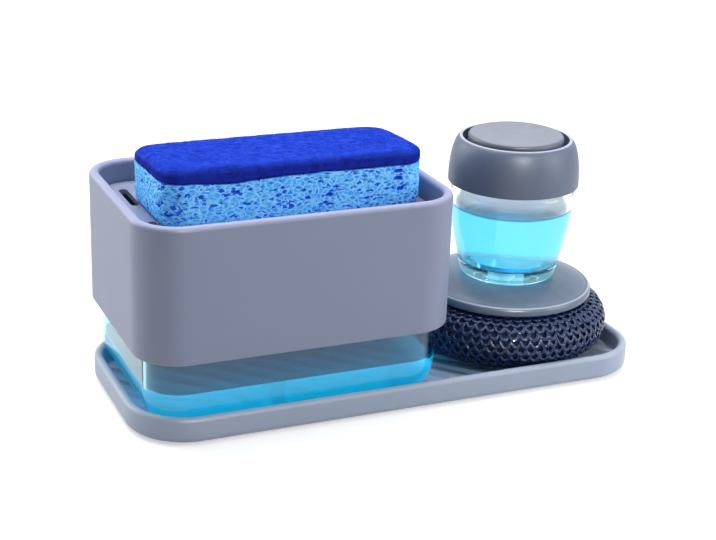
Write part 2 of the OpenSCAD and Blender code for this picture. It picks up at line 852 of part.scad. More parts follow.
module press_plate() {
    skirt_low = plate_under - plate_skirt_h;
    dish_ball_r = (dish_r * dish_r + dish_depth * dish_depth) / (2 * dish_depth);
    boss_r = stem_r + push_gap + boss_wall;
    color(mist)
        translate([dispenser_x, 0, 0])
            difference() {
                union() {
                    rounded_sweep(plate_l, plate_w, plate_corner_r)
                        difference() {
                            solid_section(plate_corner_r, skirt_low, plate_top, 0,
                                plate_edge_r);
                            translate([0, skirt_low - overrun])
                                square([plate_corner_r - plate_wall,
                                    plate_skirt_h + overrun]);
                        }
                    sweep_core(plate_l, plate_w, plate_corner_r, plate_under, plate_top);
                    plate_ribs();
                    tube(boss_r, 0, boss_z, plate_under + plate_t / 2);
                }
                tube(stem_r + push_gap, 0, boss_z - overrun, stem_top);
                tube(nozzle_r, 0, boss_z, plate_top + overrun);
                translate([0, 0, plate_top - dish_depth + dish_ball_r])
                    sphere(dish_ball_r, $fn = 180);
                drain_slots();
            }
}

module sponge_body() {
    color(sky)
        translate([sponge_x, 0, 0])
            rounded_block(sponge_l, sponge_w, sponge_corner_r, sponge_z, pad_z,
                sponge_edge_r);
}

module scour_pad() {
    color(royal)
        translate([sponge_x, 0, 0])
            rounded_block(sponge_l, sponge_w, sponge_corner_r, pad_z, sponge_top, 0,
                sponge_edge_r);
}

// Outer radius of the bottle's flared body at a share of its height.
function flare_r(t) =
    base_r + (shoulder_r - base_r) * (1 - pow(1 - t, bottle_flare_power));

// Share of the flared body's height at a level.
function flare_share(z) = (z - heel_z) / (shoulder_z - heel_z);

// Outline of the flared body from a level up to its shoulder, drawn in by a wall.
function flare_points(z0, wall) =
    [for (i = [0 : outline_steps])
        let (z = z0 + (shoulder_z - z0) * i / outline_steps)
        [flare_r(flare_share(z)) - wall, z]];

// Rounded lower edge of the bottle, from its foot up to the flared body.
function heel_points() =
    [for (i = [0 : outline_steps / 2 - 1])
        let (a = 180 * i / outline_steps)
        [base_r - heel_r + heel_r * sin(a), heel_z - heel_r * cos(a)]];

// Rounded shoulder from the flared body up to the neck, drawn in by a wall.
function shoulder_points(wall) =
    [for (i = [1 : outline_steps / 2])
        let (a = 180 * i / outline_steps)
        [bottle_neck_r - wall + (shoulder_r - bottle_neck_r) * cos(a),
            shoulder_z + shoulder_h * sin(a)]];

// Fillet where the inside wall meets the base.
function fillet_points(wall) =
    let (z = bottle_in_z + base_fillet_r,
        r = flare_r(flare_share(z)) - wall)
    [for (i = [0 : outline_steps / 2 - 1])
        let (a = 180 * i / outline_steps)
        [r - base_fillet_r + base_fillet_r * sin(a), z - base_fillet_r * cos(a)]];

module soap_bottle() {
    outside = concat([[0, spigot_z], [spigot_r, spigot_z], [spigot_r, bottle_z]],
        heel_points(), flare_points(heel_z, 0), shoulder_points(0),
        [[bottle_neck_r, bottle_top], [0, bottle_top]]);
    inside = concat([[0, bottle_in_z]], fillet_points(bottle_wall),
        flare_points(bottle_in_z + base_fillet_r, bottle_wall), shoulder_points(bottle_wall),
        [[bottle_neck_r - bottle_wall, bottle_top + overrun], [0, bottle_top + overrun]]);
    color(clear)
        translate([scrubber_x, 0, 0])
            rotate_extrude()
                difference() {
                    polygon(outside);
                    polygon(inside);
                    translate([0, spigot_z - overrun])
                        square([spigot_bore_r, bottle_in_z - spigot_z + 2 * overrun]);
                }
}

// Soap in the bottle, standing on its base round the valve.
module bottle_soap() {
    shrink = bottle_wall + soap_gap;
    flare = flare_points(bottle_in_z + base_fillet_r, shrink);
    outline = concat([[0, bottle_in_z]], fillet_points(shrink),
        [for (p = flare) if (p[1] < bottle_soap_z) p],
        [[flare_r(flare_share(bottle_soap_z)) - shrink, bottle_soap_z], [0, bottle_soap_z]]);
    color(soap_cyan)
        translate([scrubber_x, 0, 0])
            rotate_extrude()
                difference() {
                    polygon(outline);
                    translate([0, bottle_in_z - overrun])
                        square([valve_r + soap_gap, valve_t + soap_gap + overrun]);
                }
}

// Soft outlet valve: a flange on the bottle's base and a slit beak in the spigot.
module outlet_valve() {
    slit_t = beak_tip_r / 4;
    color(silicone)
        translate([scrubber_x, 0, 0])
            difference() {
                union() {
                    tube(valve_r, 0, bottle_in_z, bottle_in_z + valve_t);
                    translate([0, 0, bottle_in_z - beak_h])
                        cylinder(r1 = beak_tip_r, r2 = spigot_bore_r - soap_gap, h = beak_h);
                }
                translate([0, 0, bottle_in_z - beak_h + valve_t])
                    cylinder(r1 = beak_tip_r / 2, r2 = spigot_bore_r - valve_t, h = beak_h);
                translate([-slit_t / 2, -beak_tip_r / 2, bottle_in_z - beak_h - overrun])
                    cube([slit_t, beak_tip_r, 2 * valve_t + overrun]);
            }
}

// Outline of the disc from its lower edge out round its rim and up its crown to the bottle.
function disc_points() =
    let (r0 = base_r, r1 = disc_r - disc_edge_r, half = outline_steps / 2)
    concat([for (i = [0 : half])
            let (a = 180 * i / outline_steps)
            [disc_r - disc_low_r + disc_low_r * sin(a), disc_z + disc_low_r - disc_low_r * cos(a)]],
        [for (i = [0 : half])
            let (a = 180 * i / outline_steps)
            [r1 + disc_edge_r * cos(a), disc_rim_z - disc_edge_r + disc_edge_r * sin(a)]],
        [for (i = [1 : outline_steps])
            let (t = 1 - i / outline_steps)
            [r0 + (r1 - r0) * t, bottle_z - disc_crown * pow(t, disc_crown_power)]]);

// Crowned disc that carries the knitted pad on the bottle's spigot.
module scrubber_disc() {
    hole = spigot_r + screw_gap;
    color(dark_slate)
        translate([scrubber_x, 0, 0])
            rotate_extrude()
                polygon(concat([[hole, disc_z]], disc_points(), [[hole, bottle_z]]));
}

// Nut that clamps the disc and the pad's gathered top to the bottle.
module clamp_nut() {
    color(dark_slate)
        translate([scrubber_x, 0, 0])
            difference() {
                tube(nut_r, 0, nut_z, disc_z);
                tube(spigot_r + screw_gap, 0, nut_z + nut_floor, disc_z + overrun);
                tube(outlet_r, 0, nut_z - overrun, disc_z);
                for (i = [0 : 5])
                    rotate([0, 0, 60 * i])
                        translate([nut_r + nut_floor / 2, 0, 0])
                            tube(nut_floor, 0, nut_z - overrun, disc_z + overrun);
            }
}

// Edge roll of the knitted pad, with its rows of loops, from the underside out to the top.
function roll_points() =
    let (steps = mesh_rows * 6, mid_z = mesh_z + mesh_h / 2, half_h = mesh_h / 2 + row_h)
    [for (i = [0 : steps])
        let (a = 180 * i / steps - 90, c = cos(a), s = sin(a),
            lobe = row_h * abs(sin(180 * i * mesh_rows / steps)))
        [roll_x + (roll_r - row_h + lobe) * pow(abs(c), 2 / roll_power),
            mid_z + sign(s) * half_h * pow(abs(s), 2 / roll_power)]];

module mesh_scourer() {
    outline = concat([[0, mesh_z - row_h]], roll_points(), [[0, disc_z + row_h]]);
    color(navy)
        translate([scrubber_x, 0, 0])
            difference() {
                intersection() {
                    rotate_extrude()
                        polygon(outline);
                    tube(mesh_r + overrun, 0, mesh_z, disc_z);
                }
                tube(nut_r + rest_gap, 0, nut_z - rest_gap, disc_z + overrun);
                translate([0, 0, mesh_z - overrun])
                    cylinder(r1 = dimple_r, r2 = outlet_r, h = dimple_depth + overrun);
            }
}

module cap_gasket() {
    color(silicone)
        translate([scrubber_x, 0, 0])
            tube(bottle_neck_r, bottle_neck_r - bottle_wall, bottle_top, cap_floor_z);
}

// Domed outside of the cap from its lower edge up to its rim.
function cap_points() =
    [for (i = [0 : outline_steps])
        let (t = sin(90 * i / outline_steps))
        [cap_rim_r + (cap_r - cap_rim_r)
            * pow(max(0, 1 - pow(t, cap_rise_power)), 1 / cap_round_power),
            cap_z + (cap_top - cap_z) * t]];

// Cap: domed ring, well for the button, air cylinder, and sleeve round the bottle's neck.
module scrubber_cap() {
    vent_r = stalk_r * 0.6;
    color(dark_slate)
        translate([scrubber_x, 0, 0])
            difference() {
                rotate_extrude()
                    difference() {
                        polygon(concat([[0, cap_z]], cap_points(), [[0, cap_top]]));
                        translate([0, well_z])
                            square([well_r, well_depth + overrun]);
                        translate([0, cap_z - overrun])
                            square([cap_r - bottle_wall, 2 * overrun]);
                        translate([air_bore_r + air_wall, cap_z - overrun])
                            square([sleeve_r - air_bore_r - air_wall,
                                cap_floor_z - cap_z + overrun]);
                        translate([0, cap_z - overrun])
                            square([air_bore_r + air_wall, air_z - cap_z + overrun]);
                        translate([0, air_in_z])
                            square([air_bore_r, well_z - air_in_z + overrun]);
                    }
                tube(stalk_r + push_gap, 0, air_z - overrun, air_in_z + overrun);
                for (i = [0 : 5])
                    rotate([0, 0, 60 * i])
                        translate([umbrella_r * 0.6, 0, 0])
                            tube(vent_r, 0, air_z - overrun, air_in_z + overrun);
            }
}

// Umbrella valve that lets air into the bottle and no soap out.
module umbrella_valve() {
    color(silicone)
        translate([scrubber_x, 0, 0]) {
            tube(umbrella_r, 0, air_z - umbrella_t, air_z);
            tube(stalk_r, 0, air_z - umbrella_t, air_in_z);
            translate([0, 0, air_in_z])
                cylinder(r1 = stalk_r * 1.4, r2 = stalk_r, h = bulb_h);
        }
}

module button_spring() {
    color(steel)
        translate([scrubber_x, 0, 0])
            spring(button_spring_r, button_wire_r, well_z + push_gap,
                button_under - push_gap, button_curls);
}

// Arc of a shallow dish, from its middle out to its edge.
function dish_points(r, depth, top) =
    let (ball_r = (r * r + depth * depth) / (2 * depth), reach = asin(r / ball_r))
    [for (i = [0 : outline_steps])
        let (a = reach * i / outline_steps)
        [ball_r * sin(a), top - depth + ball_r * (1 - cos(a))]];

// Push button: dished top, short skirt and hollow plunger.
module push_button() {
    dish_x = button_r - button_edge_r;
    color(mist)
        translate([scrubber_x, 0, 0]) {
            rotate_extrude()
                difference() {
                    solid_section(button_r, button_under - button_skirt, button_top, 0,
                        button_edge_r);
                    translate([0, button_under - button_skirt - overrun])
                        square([button_r - button_wall, button_skirt + overrun]);
                    polygon(concat(dish_points(dish_x, button_edge_r / 2, button_top),
                        [[0, button_top]]));
                }
            tube(plunger_r, plunger_r - plunger_wall, air_piston_top, button_under);
        }
}

// Air piston, with a spigot inside the button's plunger.
module air_piston() {
    color(silicone)
        translate([scrubber_x, 0, 0]) {
            tube(air_piston_r, 0, air_piston_z, air_piston_top);
            tube(plunger_r - plunger_wall - push_gap, 0, air_piston_top,
                air_piston_top + air_piston_t);
        }
}

drip_tray();
tray_feet();
soap_tank();
tank_soap();
pump_housing();
tank_seal();
pump_barrel();
barrel_gasket();
pump_collar();
dip_tube();
pump_spring();
pump_piston();
pump_stem();
inlet_ball();
outlet_ball();
press_plate();
sponge_body();
scour_pad();
soap_bottle();
bottle_soap();
outlet_valve();
scrubber_disc();
clamp_nut();
mesh_scourer();
cap_gasket();
scrubber_cap();
umbrella_valve();
button_spring();
push_button();
air_piston();
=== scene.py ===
import bpy
import math
import random
import numpy as np
from mathutils import Matrix, Vector, kdtree, noise


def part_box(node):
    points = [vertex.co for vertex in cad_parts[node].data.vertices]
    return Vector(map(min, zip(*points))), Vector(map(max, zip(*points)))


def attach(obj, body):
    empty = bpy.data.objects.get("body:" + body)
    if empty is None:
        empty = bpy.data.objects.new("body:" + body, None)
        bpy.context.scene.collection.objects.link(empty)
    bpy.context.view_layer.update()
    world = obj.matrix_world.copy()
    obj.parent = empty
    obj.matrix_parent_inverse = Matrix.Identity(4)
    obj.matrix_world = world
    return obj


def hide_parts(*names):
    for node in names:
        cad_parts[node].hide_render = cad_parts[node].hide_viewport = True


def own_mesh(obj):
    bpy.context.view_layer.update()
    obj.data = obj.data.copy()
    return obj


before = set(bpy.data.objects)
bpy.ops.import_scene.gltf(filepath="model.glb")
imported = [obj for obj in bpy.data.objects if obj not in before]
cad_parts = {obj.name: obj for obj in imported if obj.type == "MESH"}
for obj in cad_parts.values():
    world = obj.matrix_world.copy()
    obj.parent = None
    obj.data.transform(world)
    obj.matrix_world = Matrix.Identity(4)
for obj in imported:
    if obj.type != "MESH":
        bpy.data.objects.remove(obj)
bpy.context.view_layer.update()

scene = bpy.context.scene
mm = 0.001
print("frame loaded:", len(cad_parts), "nodes")


# Small helpers

def linear(rgb):
    # screen colour from 0 to 255 to the linear, opaque colour that a shader takes
    share = [c / 255 for c in rgb]
    return tuple(c / 12.92 if c <= 0.04045 else ((c + 0.055) / 1.055) ** 2.4 for c in share) + (1.0,)


def meshPiece(name, points, faces, smooth=True):
    mesh = bpy.data.meshes.new(name)
    mesh.from_pydata([tuple(p) for p in points], [], faces)
    mesh.validate()
    mesh.polygons.foreach_set("use_smooth", [smooth] * len(mesh.polygons))
    piece = bpy.data.objects.new(name, mesh)
    scene.collection.objects.link(piece)
    return piece


def vertexNormals(piece):
    normals = np.zeros(len(piece.data.vertices) * 3)
    piece.data.vertex_normals.foreach_get("vector", normals)
    return normals.reshape(-1, 3)


def setPoints(piece, points):
    piece.data.vertices.foreach_set("co", np.asarray(points, np.float32).ravel())
    piece.data.update()


def setMask(piece, name, values):
    mask = piece.data.attributes.new(name, "FLOAT", "POINT")
    mask.data.foreach_set("value", np.asarray(values, np.float32))


def add(tree, kind, values=None, **settings):
    # a node with its settings, and its inputs set or linked
    node = tree.nodes.new(kind)
    for key, value in settings.items():
        setattr(node, key, value)
    for key, value in (values or {}).items():
        if isinstance(value, bpy.types.NodeSocket):
            tree.links.new(value, node.inputs[key])
        else:
            node.inputs[key].default_value = value
    return node


def maths(tree, operation, a, b=0.0, clamp=False):
    return add(tree, "ShaderNodeMath", {0: a, 1: b}, operation=operation, use_clamp=clamp).outputs[0]


def blendColour(tree, share, a, b, how="MIX"):
    mix = add(tree, "ShaderNodeMix", {0: share, 6: a, 7: b}, data_type="RGBA", blend_type=how)
    return mix.outputs[2]


def ramp(tree, value, low, high, toLow=0.0, toHigh=1.0):
    values = {"Value": value, "From Min": low, "From Max": high, "To Min": toLow, "To Max": toHigh}
    return add(tree, "ShaderNodeMapRange", values).outputs[0]


def newEffect(name, inputs, outputs):
    # a shader node group with named inputs and outputs
    tree = bpy.data.node_groups.new(name, "ShaderNodeTree")
    for label, kind, start in inputs:
        socket = tree.interface.new_socket(name=label, in_out="INPUT", socket_type="NodeSocket" + kind)
        if start is not None:
            socket.default_value = start
    for label, kind in outputs:
        tree.interface.new_socket(name=label, in_out="OUTPUT", socket_type="NodeSocket" + kind)
    return tree, tree.nodes.new("NodeGroupInput").outputs, tree.nodes.new("NodeGroupOutput").inputs


def place(tree, effect, values):
    return add(tree, "ShaderNodeGroup", values, node_tree=effect).outputs


def objectPoint(tree):
    return add(tree, "ShaderNodeTexCoord").outputs["Object"]


def noiseShare(tree, where, scale, detail):
    # soft noise from 0 to 1
    noisy = add(tree, "ShaderNodeTexNoise", {"Vector": where, "Scale": scale, "Detail": detail})
    return noisy.outputs["Fac"]


def faceUp(tree):
    # how far a face looks up, from -1 to 1
    normal = add(tree, "ShaderNodeNewGeometry").outputs["Normal"]
    return add(tree, "ShaderNodeSeparateXYZ", {0: normal}).outputs["Z"]


# Effects that several finishes share

effectLook = {                       # scales are features per metre; a ramp has its ends, then its values
    "swirlScale": 90.0, "speck": (0.35, 0.65),
    "streakStretch": (0.3, 1.0, 2.4), "streakScale": 240.0, "streakShare": 0.25,
    "wornHighlitTurn": (0.02, 0.3), "wornHighlitScale": 420.0, "wornHighlitPatch": (0.35, 0.7, 0.3, 1.0),
    "dustLevel": (0.55, 0.98), "dustScale": 160.0, "dustPatch": (0.38, 0.72),
    "fibreTurns": (0.2, 1.3, 2.4), "fibreStretch": (0.12, 1.0, 0.8), "fibreStreak": (0.42, 0.68),
    "fibreCloudScale": 130.0, "fibreCloudShare": 0.45,
    "cellBendScale": 800.0, "cellBend": 1.3 * mm, "cellWall": (0.02, 0.2), "cellSlope": (0.0, 0.3),
}


def makeMouldGrain():
    # the fine spark texture that a moulded face takes from its tool, with a slow swirl under it
    tree, ask, give = newEffect("mouldGrain", [("Scale", "Float", 2600.0), ("Swirl", "Float", 0.3)],
                                [("Height", "Float"), ("Speck", "Float")])
    look = effectLook
    where = objectPoint(tree)
    fine = noiseShare(tree, where, ask["Scale"], 2.0)
    coarse = noiseShare(tree, where, look["swirlScale"], 3.0)
    swirl = maths(tree, "MULTIPLY", coarse, ask["Swirl"])
    tree.links.new(maths(tree, "ADD", fine, swirl), give["Height"])
    tree.links.new(ramp(tree, fine, *look["speck"]), give["Speck"])
    return tree


def makeToneDrift():
    # slow unevenness of a colour, and faint streaks of handling
    tree, ask, give = newEffect("toneDrift", [("Colour", "Color", None), ("Drift", "Float", 0.06),
                                              ("Scale", "Float", 28.0)], [("Colour", "Color")])
    look = effectLook
    where = objectPoint(tree)
    slow = noiseShare(tree, where, ask["Scale"], 4.0)
    long = add(tree, "ShaderNodeMapping", {"Vector": where, "Scale": look["streakStretch"]}).outputs[0]
    streak = noiseShare(tree, long, look["streakScale"], 3.0)
    both = maths(tree, "ADD", maths(tree, "MULTIPLY", slow, 1.0 - look["streakShare"]),
                 maths(tree, "MULTIPLY", streak, look["streakShare"]))
    swing = maths(tree, "MULTIPLY", maths(tree, "SUBTRACT", both, 0.5), ask["Drift"])
    value = maths(tree, "ADD", maths(tree, "MULTIPLY", swing, 2.0), 1.0)
    shaded = add(tree, "ShaderNodeHueSaturation", {"Value": value, "Color": ask["Colour"]})
    tree.links.new(shaded.outputs[0], give["Colour"])
    return tree


def makeWornHighlitEdges():
    # rubbed edges that also carry a painted highlight: a mask along convex and concave edges, and a normal
    # that rounds them
    tree, ask, give = newEffect("wornHighlitEdges", [("Radius", "Float", 0.0006), ("Reach", "Float", 0.5)],
                                [("Mask", "Float"), ("Normal", "Vector")])
    look = effectLook
    rounded = add(tree, "ShaderNodeBevel", {"Radius": ask["Radius"]}, samples=4).outputs[0]
    flat = add(tree, "ShaderNodeNewGeometry").outputs["Normal"]
    alike = add(tree, "ShaderNodeVectorMath", {0: rounded, 1: flat}, operation="DOT_PRODUCT")
    turn = ramp(tree, maths(tree, "SUBTRACT", 1.0, alike.outputs["Value"]), *look["wornHighlitTurn"])
    patch = noiseShare(tree, objectPoint(tree), look["wornHighlitScale"], 3.0)
    rubbedAndHighlit = maths(tree, "MULTIPLY", turn, ramp(tree, patch, *look["wornHighlitPatch"]))
    tree.links.new(maths(tree, "MULTIPLY", rubbedAndHighlit, ask["Reach"]), give["Mask"])
    tree.links.new(rounded, give["Normal"])
    return tree


def makeSettledDust():
    # a veil on faces that look up
    tree, ask, give = newEffect("settledDust", [("Amount", "Float", 0.08)], [("Mask", "Float")])
    look = effectLook
    level = ramp(tree, faceUp(tree), *look["dustLevel"])
    cloud = noiseShare(tree, objectPoint(tree), look["dustScale"], 5.0)
    veil = maths(tree, "MULTIPLY", level, ramp(tree, cloud, *look["dustPatch"]))
    tree.links.new(maths(tree, "MULTIPLY", veil, ask["Amount"]), give["Mask"])
    return tree


def makePaintedEdgeShading():
    # a band of painted shading on rounded edges, picked by how far the surface looks up
    tree, ask, give = newEffect("paintedEdgeShading", [("From", "Float", 0.5), ("Peak", "Float", 0.8),
                                              ("To", "Float", 2.0)], [("Mask", "Float")])
    up = faceUp(tree)
    rise = ramp(tree, up, ask["From"], ask["Peak"])
    fall = ramp(tree, up, ask["Peak"], ask["To"], 1.0, 0.0)
    tree.links.new(maths(tree, "MULTIPLY", rise, fall), give["Mask"])
    return tree


def makeFibreField():
    # crossing streaks of short fibres
    tree, ask, give = newEffect("fibreField", [("Scale", "Float", 900.0)],
                                [("Height", "Float"), ("Mask", "Float")])
    look = effectLook
    where = objectPoint(tree)
    layers = []
    for turn in look["fibreTurns"]:
        run = add(tree, "ShaderNodeMapping", {"Vector": where, "Rotation": (0.0, 0.0, turn),
                                              "Scale": look["fibreStretch"]}).outputs[0]
        layers.append(ramp(tree, noiseShare(tree, run, ask["Scale"], 2.0), *look["fibreStreak"]))
    top = maths(tree, "MAXIMUM", maths(tree, "MAXIMUM", layers[0], layers[1]), layers[2])
    cloud = noiseShare(tree, where, look["fibreCloudScale"], 4.0)
    tree.links.new(top, give["Height"])
    mixed = maths(tree, "ADD", maths(tree, "MULTIPLY", top, 1.0 - look["fibreCloudShare"]),
                  maths(tree, "MULTIPLY", cloud, look["fibreCloudShare"]))
    tree.links.new(mixed, give["Mask"])
    return tree


def makeCellWalls():
    # the net of thin walls between small cells
    tree, ask, give = newEffect("cellWalls", [("Scale", "Float", 620.0), ("Flatten", "Float", 1.7)],
                                [("Wall", "Float"), ("Height", "Float"), ("Cell", "Float")])
    look = effectLook
    stretch = add(tree, "ShaderNodeCombineXYZ", {"X": 1.0, "Y": 1.0, "Z": ask["Flatten"]}).outputs[0]
    where = objectPoint(tree)
    run = add(tree, "ShaderNodeVectorMath", {0: where, 1: stretch}, operation="MULTIPLY").outputs[0]
    bend = add(tree, "ShaderNodeTexNoise", {"Vector": run, "Scale": look["cellBendScale"], "Detail": 2.0})
    shift = add(tree, "ShaderNodeVectorMath", {0: bend.outputs["Color"], "Scale": look["cellBend"]},
                operation="SCALE")
    bent = add(tree, "ShaderNodeVectorMath", {0: run, 1: shift.outputs[0]}, operation="ADD").outputs[0]
    cells = add(tree, "ShaderNodeTexVoronoi", {"Vector": bent, "Scale": ask["Scale"]},
                feature="DISTANCE_TO_EDGE")
    wall = ramp(tree, cells.outputs["Distance"], *look["cellWall"], 1.0, 0.0)
    each = add(tree, "ShaderNodeTexVoronoi", {"Vector": bent, "Scale": ask["Scale"]}, feature="F1")
    tree.links.new(add(tree, "ShaderNodeSeparateXYZ", {0: each.outputs["Color"]}).outputs[0], give["Cell"])
    tree.links.new(wall, give["Wall"])
    tree.links.new(ramp(tree, cells.outputs["Distance"], *look["cellSlope"], 1.0, 0.0), give["Height"])
    return tree


mouldGrain = makeMouldGrain()
toneDrift = makeToneDrift()
wornHighlitEdges = makeWornHighlitEdges()
settledDust = makeSettledDust()
paintedEdgeShading = makePaintedEdgeShading()
fibreField = makeFibreField()
cellWalls = makeCellWalls()
print("effects built: 7 node groups")


# Finishes

def newMaterial(name, sockets):
    mat = bpy.data.materials.new(name)
    mat.use_nodes = True
    tree = mat.node_tree
    shader = tree.nodes["Principled BSDF"]
    for key, value in sockets.items():
        shader.inputs[key].default_value = value
    return mat, tree, shader


mouldedLook = {
    "ior": 1.48, "swirl": 0.25, "bumpDepth": 0.06 * mm,
    "roughSpread": 0.05, "dustRough": 0.3, "dustColour": (214, 218, 226),
}


def mouldedFinish(name, look):
    # opaque moulded plastic, rubber or metal
    shared = mouldedLook
    mat, tree, shader = newMaterial(name, {"IOR": shared["ior"], "Metallic": look.get("metal", 0.0)})
    grain = place(tree, mouldGrain, {"Scale": look["grain"], "Swirl": shared["swirl"]})
    wearAndHighlight = place(tree, wornHighlitEdges, {"Radius": look["edge"] * mm, "Reach": look["wearAndHighlight"]})
    dust = place(tree, settledDust, {"Amount": look["dust"]})
    tone = place(tree, toneDrift, {"Colour": linear(look["colour"]), "Drift": look["drift"]})
    plain = tone["Colour"]
    # painted shading on faces that look up: a painted highlight where its colour is pale, painted shade
    # where it is dark
    if "crown" in look:
        start, peak, end = look["crown"]
        crown = place(tree, paintedEdgeShading, {"From": start, "Peak": peak, "To": end})
        plain = blendColour(tree, crown["Mask"], plain, linear(look["crownColour"]))
    # lighter rubbed edges, which also stand in as a painted highlight
    rubbedAndHighlit = blendColour(tree, wearAndHighlight["Mask"], plain, linear(look["rubbedAndHighlit"]))
    veiled = blendColour(tree, dust["Mask"], rubbedAndHighlit, linear(shared["dustColour"]))
    least = look["rough"] - shared["roughSpread"]
    most = look["rough"] + shared["roughSpread"]
    rough = maths(tree, "ADD", ramp(tree, grain["Speck"], 0.0, 1.0, least, most),
                  maths(tree, "MULTIPLY", dust["Mask"], shared["dustRough"]))
    bump = add(tree, "ShaderNodeBump", {"Height": grain["Height"], "Normal": wearAndHighlight["Normal"],
                                        "Strength": look["bump"], "Distance": shared["bumpDepth"]})
    tree.links.new(veiled, shader.inputs["Base Color"])
    tree.links.new(rough, shader.inputs["Roughness"])
    tree.links.new(bump.outputs[0], shader.inputs["Normal"])
    return mat


clearLook = {
    "driftScale": 60.0, "swirl": 1.0, "bumpDepth": 0.05 * mm, "roughSpread": 0.03,
    "side": (0.5, 0.9),              # a face is a side until it looks up this far, and a top from there
    "paintedFloorShade": 0.4,                # how dark the painted shade line at the soap's floor is
    "paintedBaseReach": 1.5 * mm,           # the painted light in the base fades over this much, under the soap
    "paintedWallReach": 0.5 * mm, "thickFrom": 3.0 * mm, "thickTo": 9.0 * mm,     # painted light on the wall over the soap
}


def clearFinish(name, look):
    # clear moulding or liquid; shadow rays pass straight through, tinted
    shared = clearLook
    mat, tree, shader = newMaterial(name, {
        "IOR": look["ior"], "Transmission Weight": look["through"], "Metallic": 0.0})
    tone = place(tree, toneDrift, {"Colour": linear(look["colour"]), "Drift": look["drift"],
                                   "Scale": shared["driftScale"]})
    grain = place(tree, mouldGrain, {"Scale": look["grain"], "Swirl": shared["swirl"]})
    bump = add(tree, "ShaderNodeBump", {"Height": grain["Height"], "Strength": look["bump"],
                                        "Distance": shared["bumpDepth"]})
    rough = ramp(tree, grain["Speck"], 0.0, 1.0, look["rough"], look["rough"] + shared["roughSpread"])
    colour = tone["Colour"]
    dark = (0.0, 0.0, 0.0, 1.0)
    outside = maths(tree, "SUBTRACT", 1.0, add(tree, "ShaderNodeNewGeometry").outputs["Backfacing"])
    side = ramp(tree, faceUp(tree), *shared["side"], 1.0, 0.0)
    height = add(tree, "ShaderNodeSeparateXYZ", {0: objectPoint(tree)}).outputs["Z"]
    paintedLight = None
    if "paintedShadeTop" in look:            # painted shade: faces of the soap that look up take a darker colour
        colour = blendColour(tree, side, linear(look["paintedShadeTop"]), colour)
    if "sideGlow" in look:           # painted light: the soap's sides glow, standing in for light that dyed soap scatters out of them
        paintedLight = blendColour(tree, side, dark, linear(look["sideGlow"]))
    if "paintedShadeLines" in look:              # painted shade: dark lines where the soap's surface and floor meet the wall
        low, high = (corner.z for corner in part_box(look["nodes"][0]))
        width = look["lineWidth"] * mm
        edge = maths(tree, "MAXIMUM", ramp(tree, height, high - width, high - width / 2),
                     ramp(tree, height, low + width / 2, low + width, shared["paintedFloorShade"], 0.0))
        colour = blendColour(tree, maths(tree, "MULTIPLY", edge, side), colour, linear(look["paintedShadeLines"]))
    if "soap" in look:               # painted light: the base under the soap glows in the soap's colour and takes its tint, and more painted light lies on the wall over the soap
        low, high = (corner.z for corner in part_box(look["soap"]))
        below = ramp(tree, height, low - shared["paintedBaseReach"], low, 1.0, 0.0)
        above = ramp(tree, height, high, high + shared["paintedWallReach"])
        thick = ramp(tree, height, high + shared["thickFrom"], high + shared["thickTo"])
        paintedWallLight = blendColour(tree, thick, linear(look["paintedWallLight"]), linear(look["paintedUpperWallLight"]))
        paintedWall = blendColour(tree, above, dark, paintedWallLight)
        paintedLight = blendColour(tree, below, paintedWall, linear(look["paintedBaseLight"]))
        colour = blendColour(tree, below, colour, linear(look["paintedBaseTint"]))
    # painted light shines out as emission, from outer faces only
    if paintedLight:
        shader.inputs["Emission Strength"].default_value = look["glow"]
        tree.links.new(blendColour(tree, outside, dark, paintedLight), shader.inputs["Emission Color"])
    tree.links.new(colour, shader.inputs["Base Color"])
    tree.links.new(rough, shader.inputs["Roughness"])
    tree.links.new(bump.outputs[0], shader.inputs["Normal"])
    path = add(tree, "ShaderNodeLightPath")
    passing = add(tree, "ShaderNodeBsdfTransparent", {"Color": linear(look["passing"])})
    mixed = add(tree, "ShaderNodeMixShader", {0: path.outputs["Is Shadow Ray"], 1: shader.outputs[0],
                                              2: passing.outputs[0]})
    tree.links.new(mixed.outputs[0], tree.nodes["Material Output"].inputs["Surface"])
    return mat
